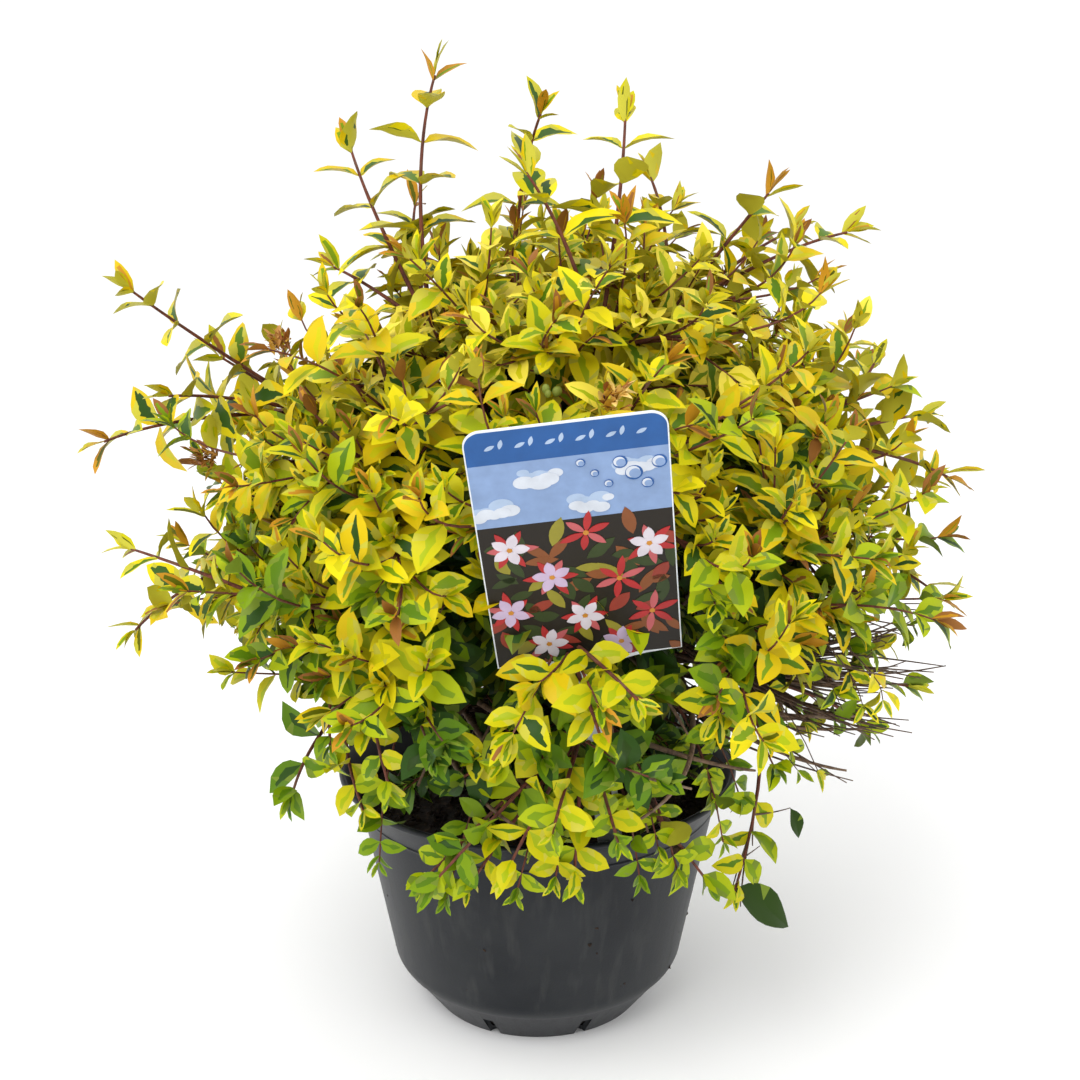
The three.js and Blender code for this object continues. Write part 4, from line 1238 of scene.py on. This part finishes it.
def turned(profile, sides):
    # corners and faces of a closed skin turned round Z; the half section starts and ends on the axis
    rings = profile[1:-1]
    corners = [(0, 0, profile[0][1])]
    for radius, height in rings:
        for k in range(sides):
            angle = 2 * math.pi * k / sides
            corners.append((radius * math.cos(angle), radius * math.sin(angle), height))
    corners.append((0, 0, profile[-1][1]))
    faces, last = [], len(corners) - 1
    for k in range(sides):
        beside = (k + 1) % sides
        faces.append((0, 1 + beside, 1 + k))
        for ring in range(len(rings) - 1):
            a, b = 1 + ring * sides + k, 1 + ring * sides + beside
            faces += [(a, b, b + sides), (a, b + sides, a + sides)]
        top = 1 + (len(rings) - 1) * sides
        faces.append((top + k, top + beside, last))
    return np.array(corners, float), np.array(faces)


def potFinish():
    # slate grey with fine streaks, cloudy dust that is thicker low down, and a few dark smudges
    look = potLook
    material, graph, sockets = newFinish("slate_grey_plastic", look["roughness"], gloss=look["gloss"])
    place = graph.objectPlace()
    height = graph.node("ShaderNodeSeparateXYZ", {0: place}, 2)
    drawn = graph.stretched(place, look["stretch"])
    streaks = graph.noise(drawn, look["streaks"], 5.0)
    clouds = graph.noise(place, look["clouds"], 4.0)
    grain = graph.noise(place, look["grain"], 2.0)
    dustRange = {0: height, 1: 0.0, 2: look["dustTop"], 3: look["lowDust"], 4: 0.0}
    lowDust = graph.node("ShaderNodeMapRange", dustRange)
    streakMask = graph.mask(streaks, *look["streakRange"])
    cloudMask = graph.mask(clouds, *look["cloudRange"])
    colour = graph.ramp(clouds, (0.3, look["dark"]), (0.75, look["light"]))
    dust = (streakMask * look["streakDust"] + cloudMask * look["cloudDust"]) * (lowDust + look["dust"])
    colour = graph.blend(dust, colour, tone(*look["dustTone"]))
    spots = graph.node("ShaderNodeTexVoronoi", {"Vector": drawn, "Scale": look["smudges"]})
    smudge = graph.mask(spots, *look["smudgeRange"]) * (cloudMask > look["smudgeFrom"])
    colour = graph.blend(smudge * look["smudge"], colour, tone(*look["smudgeTone"]))
    graph.feed(sockets["Base Color"], colour)
    roughness = look["cleanRoughness"] + dust * look["dustRoughness"] + grain * look["grainRoughness"]
    graph.feed(sockets["Roughness"], roughness)
    graph.feed(sockets["Normal"], graph.bump(look["bump"], look["depth"], grain + streaks))
    return material


def drillPiece():
    # one leaning rod for each drain hole
    drills = Heap()
    half, radius = drainHoles["depth"] / 2, drainHoles["radius"]
    corners, faces = turned([(0, -half), (radius, -half), (radius, half), (0, half)], drainHoles["sides"])
    shift = Matrix.Translation((pot["footRadius"] + drainHoles["height"] / 2, 0, drainHoles["height"]))
    lean = Matrix.Rotation(math.radians(90 + drainHoles["tilt"]), 4, "Y")
    for hole in range(drainHoles["count"]):
        turn = Matrix.Rotation(2 * math.pi * (hole + 0.5) / drainHoles["count"], 4, "Z")
        drills.add(movedBy(turn @ shift @ lean, corners), faces, 0)
    return drills.build("drain_drills", [])


def potPiece():
    heap = Heap()
    heap.add(*turned(potProfile(), pot["sides"]), 0)
    piece = heap.build("nursery_pot", [potFinish()])
    cutter = drillPiece()
    modifier = piece.modifiers.new("drain_holes", "BOOLEAN")
    modifier.operation = "DIFFERENCE"
    modifier.solver = "EXACT"
    modifier.object = cutter
    plainMesh(piece)
    bpy.data.objects.remove(cutter)
    # flat steps between wall, seam and floor keep a crisp line
    piece.data.set_sharp_from_angle(angle=math.radians(potCurves["crispAngle"]))
    return piece


settle(potPiece(), ["pot"])


# The soil: a lumpy dome with crumbs and bark chips strewn over it.

soil = {"radius": 112.5, "level": 138, "dome": 4, "rings": 34, "sides": 96, "lump": 2.2, "waves": 9,
        "waveLeast": 0.05, "waveVary": 0.3, "rim": 5, "levelEdge": 12, "floor": 4.3}
crumbs = {"density": 42000.0, "smallest": 0.0012, "largest": 0.0042, "seed": 7, "facing": 0.6, "above": 0.13,
          "turnSeed": 3, "sizeSeed": 5, "shapeSeed": 9, "thinnest": (0.4, 0.3, 0.25),
          "thickest": (1.6, 0.8, 0.6)}
fullTurn = 6.28
earthLook = {
    "roughness": 0.95, "stops": [(0.3, (22, 16, 12)), (0.55, (46, 33, 24)), (0.8, (92, 70, 50))],
    "grains": 260.0, "fibres": 60.0, "fibreShare": 0.35, "fibreTone": (34, 25, 19),
    "bump": 0.9, "depth": 0.0012,
}


def soilFinish():
    look = earthLook
    material, graph, sockets = newFinish("potting_soil", look["roughness"])
    place = graph.objectPlace()
    grains = graph.noise(place, look["grains"], 6.0)
    fibres = graph.noise(place, look["fibres"], 3.0) * look["fibreShare"]
    colour = graph.blend(fibres, graph.ramp(grains, *look["stops"]), tone(*look["fibreTone"]))
    graph.feed(sockets["Base Color"], colour)
    graph.feed(sockets["Normal"], graph.bump(look["bump"], look["depth"], grains))
    return material


def crumbTree(material):
    kinds = {"Density": "Float", "Smallest": "Float", "Largest": "Float", "Seed": "Int"}
    graph, given = startTree("strewn_crumbs", kinds)

    def heightOf(vector):
        return graph.node("ShaderNodeSeparateXYZ", {0: vector}, 2)

    def drawn(low, high, seed):
        sockets = {0: low, 1: high, "Seed": seed}
        return graph.node("FunctionNodeRandomValue", sockets, data_type="FLOAT_VECTOR")
    facing = heightOf(graph.node("GeometryNodeInputNormal"))
    height = heightOf(graph.node("GeometryNodeInputPosition"))
    spread = {"Mesh": given["Geometry"], "Density": given["Density"], "Seed": given["Seed"],
              "Selection": (facing > crumbs["facing"]) * (height > crumbs["above"])}
    points = graph.node("GeometryNodeDistributePointsOnFaces", spread, distribute_method="RANDOM")
    chip = graph.node("GeometryNodeMeshIcoSphere", {"Radius": 1.0, "Subdivisions": 1})
    turn = drawn((0.0, 0.0, 0.0), (fullTurn, fullTurn, fullTurn), crumbs["turnSeed"])
    sizes = {2: given["Smallest"], 3: given["Largest"], "Seed": crumbs["sizeSeed"]}
    size = graph.node("FunctionNodeRandomValue", sizes, 1, data_type="FLOAT")
    shape = drawn(crumbs["thinnest"], crumbs["thickest"], crumbs["shapeSeed"])
    scale = graph.node("ShaderNodeVectorMath", {0: shape, "Scale": size}, operation="SCALE")
    laid = {"Points": points, "Instance": chip, "Rotation": turn, "Scale": scale}
    return endTree(graph, graph.node("GeometryNodeInstanceOnPoints", laid), material)


def soilBed(name, material):
    radius, level = soil["radius"], soil["level"]
    profile = [(0, soil["floor"]), (pot["footRadius"] - 3, soil["floor"])]
    profile += [(pot["shoulderRadius"] - 4.2, pot["shoulderHeight"] + 1.3), (radius, level)]
    for ring in range(1, soil["rings"]):
        share = 1 - ring / soil["rings"]
        profile.append((radius * share, level + soil["dome"] * min(1, (1 - share) * soil["rim"])))
    profile.append((0, level + soil["dome"]))
    corners, faces = turned(profile, soil["sides"])
    random = seededRandom(seeds["soil"])
    least, vary, lumps = soil["waveLeast"], soil["waveVary"], 0
    for _ in range(soil["waves"]):
        a, b, c = least + vary * random(), least + vary * random(), fullTurn * random()
        lumps = lumps + np.sin(a * corners[:, 0] + b * corners[:, 1] + c)
    lumps = lumps / soil["waves"]
    inside = np.clip((radius - np.hypot(corners[:, 0], corners[:, 1])) / soil["levelEdge"], 0, 1)
    lift = soil["lump"] * lumps * inside - soil["lump"] / 2 * inside
    corners[:, 2] += np.where(corners[:, 2] >= level, lift, 0)
    heap = Heap()
    heap.add(corners, faces, 0)
    return heap.build(name, [material])


earth = soilFinish()
settle(soilBed("potting_soil_bed", earth), ["potting_soil"])
settle(madeBy(crumbTree(earth), soilBed("soil_crumbs", earth), crumbs), [])


# The label: a glossy card on a stake, with a plain header and simple flowers, no lettering.

cardArt = {
    "border": 0.7, "header": 0.125, "sky": 0.25, "layer": 0.05, "sunk": 0.3, "mottle": 0.82,
    "headerLeaves": 11, "headerLeaf": (6, 2.4), "clouds": 4, "puffs": 9, "puffLeast": 3, "puffVary": 3.4,
    "puffStep": 4, "puffSquash": 0.7, "drops": 7, "dropLeast": 1.6, "dropVary": 3.4,
    "leafRows": 9, "leafColumns": 7, "leafVary": 0.8, "leafLength": (12, 8), "leafWidth": (5, 3),
    "bractLength": (11, 4), "bractWidth": 4.2, "petal": (10, 6), "starRadius": 1.5, "starGap": 0.6,
    "leafTones": ["leafDeep", "leafBronze", "leafDeep", "leafLime", "leafRust"],
    "flowers": [(-0.7, 0.84), (0.1, 0.9), (0.74, 0.78), (-0.3, 0.62), (0.4, 0.56), (-0.78, 0.4), (0, 0.32),
                (0.72, 0.3), (-0.42, 0.14), (0.36, 0.1)],
}
printTones = {
    "cloudWhite": (214, 220, 230), "headerBlue": (40, 92, 158), "skyBlue": (138, 164, 206),
    "dropBlue": (176, 196, 224), "panelDark": (34, 27, 20), "leafDeep": (52, 66, 30),
    "leafLime": (150, 142, 48), "leafBronze": (136, 78, 40), "leafRust": (150, 58, 44),
    "bractRed": (182, 46, 48), "bractPink": (196, 96, 100), "petalLilac": (206, 184, 214),
    "petalWhite": (222, 214, 224), "starGold": (206, 140, 52),
}
printSlot = {name: index for index, name in enumerate(printTones)}


def roundedOutline(halfWidth, bottom, top, radius):
    points = arcOf((halfWidth - radius, top - radius), radius, 0, 90, label["cornerSteps"])
    points += arcOf((-halfWidth + radius, top - radius), radius, 90, 180, label["cornerSteps"])
    return points + [(-halfWidth, bottom), (halfWidth, bottom)]


def cardOutline():
    half, stake = label["width"] / 2, label["stakeWidth"] / 2
    points = roundedOutline(half, labelBottom, labelTop, label["corner"])
    shoulder = []
    for k in range(1, label["shoulderSteps"] + 1):
        share = k / label["shoulderSteps"]
        x = (1 - share) ** 2 * half + 2 * share * (1 - share) * stake + share ** 2 * stake
        shoulder.append((x, labelBottom - label["shoulder"] * share ** 2))
    left = [(-x, y) for x, y in shoulder]
    pointFrom = label["point"] - label["buried"]
    tip = [(-stake, pointFrom), (0, -label["buried"]), (stake, pointFrom)]
    return points[:-1] + left + tip + shoulder[::-1] + [points[-1]]


def addPrism(heap, outline, low, high, slot):
    # a flat shape with straight sides, filled as one polygon
    flat = [Vector((x, y, 0)) for x, y in outline]
    count = len(outline)
    corners = [(x, y, low) for x, y in outline] + [(x, y, high) for x, y in outline]
    faces = []
    for a, b, c in tessellate_polygon([flat]):
        turn = (flat[b] - flat[a]).cross(flat[c] - flat[a]).z
        a, b, c = (a, b, c) if turn > 0 else (a, c, b)
        faces += [(a + count, b + count, c + count), (a, c, b)]
    area = sum(p.x * q.y - q.x * p.y for p, q in zip(flat, flat[1:] + flat[:1]))
    for k in range(count):
        beside = (k + 1) % count
        near, far = (k, beside) if area > 0 else (beside, k)
        faces += [(near, far, far + count), (near, far + count, near + count)]
    heap.add(movedBy(labelPlace, np.array(corners, float)), np.array(faces), slot)


def petalOutline(centre, angle, length, width, start=0.0):
    # a pointed oval that leaves a centre at an angle in degrees
    along = Vector((math.cos(math.radians(angle)), math.sin(math.radians(angle))))
    across = Vector((-along.y, along.x))
    points = []
    for k in range(7):
        half = width / 2 * math.sin(math.pi * (k / 6)) ** 0.8
        points.append(Vector(centre) + along * (start + length * (k / 6)) + across * half)
    back = [2 * (Vector(centre) + along * (start + length * k / 6)) - points[k] for k in range(5, 0, -1)]
    return [(p.x, p.y) for p in points + back]


def discOutline(centre, radius, sides=18, squash=1.0):
    return [(centre[0] + radius * math.cos(2 * math.pi * k / sides),
             centre[1] + radius * squash * math.sin(2 * math.pi * k / sides)) for k in range(sides)]


def clipped(outline, low, high):
    # the part of an outline that lies between two corners
    for axis in (0, 1):
        for sign, limit in ((1, low[axis]), (-1, high[axis])):
            kept = []
            for before, point in zip(outline[-1:] + outline[:-1], outline):
                inside = sign * (point[axis] - limit) >= 0
                if inside != (sign * (before[axis] - limit) >= 0):
                    share = (limit - before[axis]) / (point[axis] - before[axis])
                    kept.append(tuple(b + (p - b) * share for p, b in zip(point, before)))
                if inside:
                    kept.append(point)
            outline = kept
    return outline


def printedFaces():
    heap = Heap()
    half, thickness = label["width"] / 2 - cardArt["border"], label["thickness"]
    top, bottom = labelTop - cardArt["border"], labelBottom + cardArt["border"]
    headerFoot = top - label["height"] * cardArt["header"]
    skyFoot = headerFoot - label["height"] * cardArt["sky"]
    random = seededRandom(seeds["print"])

    def put(name, outline, layer):
        outline = clipped(outline, (-half, bottom), (half, top)) if layer else outline
        if len(outline) > 2:
            high = thickness + cardArt["layer"] * (layer + 1)
            addPrism(heap, outline, thickness - cardArt["sunk"], high, printSlot[name])

    put("headerBlue", roundedOutline(half, headerFoot, top, label["corner"] - cardArt["border"]), 0)
    put("skyBlue", [(-half, skyFoot), (half, skyFoot), (half, headerFoot), (-half, headerFoot)], 0)
    put("panelDark", [(-half, bottom), (half, bottom), (half, skyFoot), (-half, skyFoot)], 0)
    # a row of simple leaves in the plain header
    for k in range(cardArt["headerLeaves"]):
        centre = ((k - 5.4) * half * 0.15, (top + headerFoot) / 2 - 1)
        put("dropBlue", petalOutline(centre, 25 + 50 * (k % 2), *cardArt["headerLeaf"]), 1)
    # soft clouds of overlapping flat discs, and a few round drops
    for cloud in range(cardArt["clouds"]):
        x = half * (0.5 * cloud - 0.8)
        y = taper(skyFoot + 9, headerFoot - 12, cloud % 2)
        for puff in range(cardArt["puffs"]):
            step = cardArt["puffStep"]
            centre = (x + step * (puff % 5 - 2), y + 5 * random() - step * (puff // 5))
            radius = cardArt["puffLeast"] + cardArt["puffVary"] * random()
            name = "cloudWhite" if puff > 3 else "dropBlue"
            put(name, discOutline(centre, radius, squash=cardArt["puffSquash"]), 1 + puff)
    for drop in range(cardArt["drops"]):
        x, y = half * (0.12 + 0.13 * drop), headerFoot - 5 - 20 * (drop * 0.37 % 1)
        size = cardArt["dropLeast"] + cardArt["dropVary"] * random()
        put("headerBlue", discOutline((x, y), size), 10)
        put("cloudWhite", discOutline((x - size * 0.12, y + size * 0.12), size * 0.8), 11)
        put("skyBlue", discOutline((x + size * 0.1, y - size * 0.1), size * 0.66), 12)
    # a thicket of leaves over the dark panel
    rows, columns, vary = cardArt["leafRows"], cardArt["leafColumns"], cardArt["leafVary"]
    for k in range(rows * columns):
        across = ((k % columns + 0.5 + vary * (random() - 0.5)) / columns - 0.5) * 2 * half
        rise = taper(bottom, skyFoot - 8, (k // columns + 0.5 + vary * (random() - 0.5)) / rows)
        name = cardArt["leafTones"][int(len(cardArt["leafTones"]) * random())]
        angle = 360 * random()
        sizes = (cardArt["leafLength"], cardArt["leafWidth"])
        length, width = (least + more * random() for least, more in sizes)
        put(name, petalOutline((across, rise), angle, length, width), 1 + k % 7)
    # star flowers on a lattice: red and pink bracts, then pale petals over some of them
    for number, (across, rise) in enumerate(cardArt["flowers"]):
        centre = (across * half, taper(bottom, skyFoot, rise))
        for k in range(6):
            name = "bractPink" if (k + number) % 3 == 0 else "bractRed"
            length = cardArt["bractLength"][0] + cardArt["bractLength"][1] * random()
            shape = (60 * k + 20 * number, length, cardArt["bractWidth"], cardArt["starGap"])
            put(name, petalOutline(centre, *shape), 8 + k % 2)
        if number % 3 != 1:
            petal = "petalLilac" if number % 2 else "petalWhite"
            for k in range(5):
                outline = petalOutline(centre, 72 * k + 9 * number, *cardArt["petal"], cardArt["starGap"])
                put(petal, outline, 10 + k % 2)
        put("starGold", discOutline(centre, cardArt["starRadius"]), 12)
    return heap.build("label_print", [printFinish(name) for name in printTones], smooth=False)


def printFinish(name):
    # ink with a faint mottle
    finish, graph, sockets = newFinish("print_" + name, 0.36, gloss=0.25)
    mottle = graph.noise(graph.objectPlace(), 110.0, 3.0)
    darker = tuple(round(level * cardArt["mottle"]) for level in printTones[name])
    graph.feed(sockets["Base Color"], graph.blend(mottle, tone(*darker), tone(*printTones[name])))
    return finish


def labelPiece():
    finish, graph, sockets = newFinish("label_card", 0.34)
    specks = graph.noise(graph.objectPlace(), 300.0, 3.0)
    worn = graph.ramp(specks, (0.3, (206, 212, 218)), (0.7, (232, 236, 238)))
    graph.feed(sockets["Base Color"], worn)
    heap = Heap()
    addPrism(heap, cardOutline(), 0, label["thickness"], 0)
    return heap.build("label_card", [finish], smooth=False)


settle(labelPiece(), ["plant_label"])
settle(printedFaces(), [])


# Small clusters of dry bracts and round green buds among the shoots.

clusterTones = {"tanBract": (184, 132, 60), "rustBract": (158, 98, 46), "goldBract": (214, 168, 56),
                "creamBract": (240, 208, 122), "greenBud": (132, 144, 52)}
bractSlots = {"plain": (0, 1, 2, 0), "golden": (2, 3, 3, 1)}


def addBracts(heap, centre, slots, random):
    outward = (centre - crown["heart"]).normalized()
    for _ in range(clusters["bractCount"]):
        spread = scatter(random) * clusters["splay"]
        axis = (outward + spread).normalized()
        face = (upward + spread.cross(axis) * clusters["twist"]).normalized()
        side = face.cross(axis).normalized()
        turn = np.array([axis, side, axis.cross(side)])
        form = leafForms["tip"][int(random() * len(leafForms["tip"]))]
        size = clusters["bractLength"] * (clusters["bractVary"][0] + clusters["bractVary"][1] * random())
        foot = scatter(random) * clusters["bractSpread"]
        corners = form.points @ turn * size + np.array(centre - outward * clusters["sunk"] + foot)
        heap.add(corners, form.faces, slots[int(random() * len(slots))], form.creases)


def addBuds(heap, centre, random):
    for _ in range(clusters["budCount"]):
        offset = scatter(random) * clusters["budSpread"]
        radius = clusters["budRadius"] * (clusters["budVary"][0] + clusters["budVary"][1] * random())
        corners, faces = turned(arcOf((0, 0), radius, -90, 90, 6), 10)
        corners = corners * np.array(clusters["budShape"]) + np.array(centre + offset)
        heap.add(corners, faces, list(clusterTones).index("greenBud"))


def clusterPiece():
    heap = Heap()
    for number, place in enumerate(clusters["bracts"]):
        slots = bractSlots["golden" if number in clusters["golden"] else "plain"]
        addBracts(heap, Vector(place), slots, seededRandom(seeds["bracts"] + number))
    for number, place in enumerate(clusters["buds"]):
        addBuds(heap, Vector(place), seededRandom(seeds["buds"] + number))
    finishes = [newFinish(name, 0.6, colour)[0] for name, colour in clusterTones.items()]
    return heap.build("dry_bracts_and_buds", finishes)


settle(clusterPiece(), [])


# Floor, light and camera.

studio = {
    "floor": (252, 252, 252), "floorSize": 40.0, "sky": 1.08, "middle": (0, 0, 0.28), "lightSize": 1.6,
    "lights": {"key_light": ((-0.8, -1.55, 2.2), 35.0), "fill_light": ((1.7, -0.6, 1.1), 3.0)},
}


def addLight(name, place, power):
    lamp = bpy.data.lights.new(name, "AREA")
    lamp.shape = "DISK"
    lamp.size = studio["lightSize"]
    lamp.energy = power
    light = newObject(name, lamp)
    light.location = place
    light.rotation_euler = (Vector(studio["middle"]) - Vector(place)).to_track_quat("-Z", "Y").to_euler()


def addStudio():
    half = studio["floorSize"] / 2
    corners = [(-half, -half, 0), (half, -half, 0), (half, half, 0), (-half, half, 0)]
    mesh = bpy.data.meshes.new("pale_floor")
    mesh.from_pydata(corners, [], [(0, 1, 2, 3)])
    mesh.materials.append(newFinish("pale_floor", 0.9, studio["floor"])[0])
    floor = newObject("pale_floor", mesh)
    for name, (place, power) in studio["lights"].items():
        addLight(name, place, power)
    world = bpy.data.worlds.new("studio_sky")
    world.use_nodes = True
    background = world.node_tree.nodes["Background"]
    background.inputs["Color"].default_value = (1, 1, 1, 1)
    background.inputs["Strength"].default_value = studio["sky"]
    bpy.context.scene.world = world
    bpy.context.scene.view_settings.view_transform = "Standard"


def addCamera():
    lens = bpy.data.cameras.new("camera")
    lens.sensor_width = camera["sensor"]
    lens.lens = lens.sensor_width / 2 / math.tan(math.radians(camera["view"] / 2))
    lens.clip_end = camera["farthest"]
    eye = newObject("camera", lens)
    eye.location = camera["place"] * mm
    eye.rotation_euler = (math.radians(90 - camera["pitch"]), 0, 0)
    bpy.context.scene.camera = eye


addStudio()
addCamera()
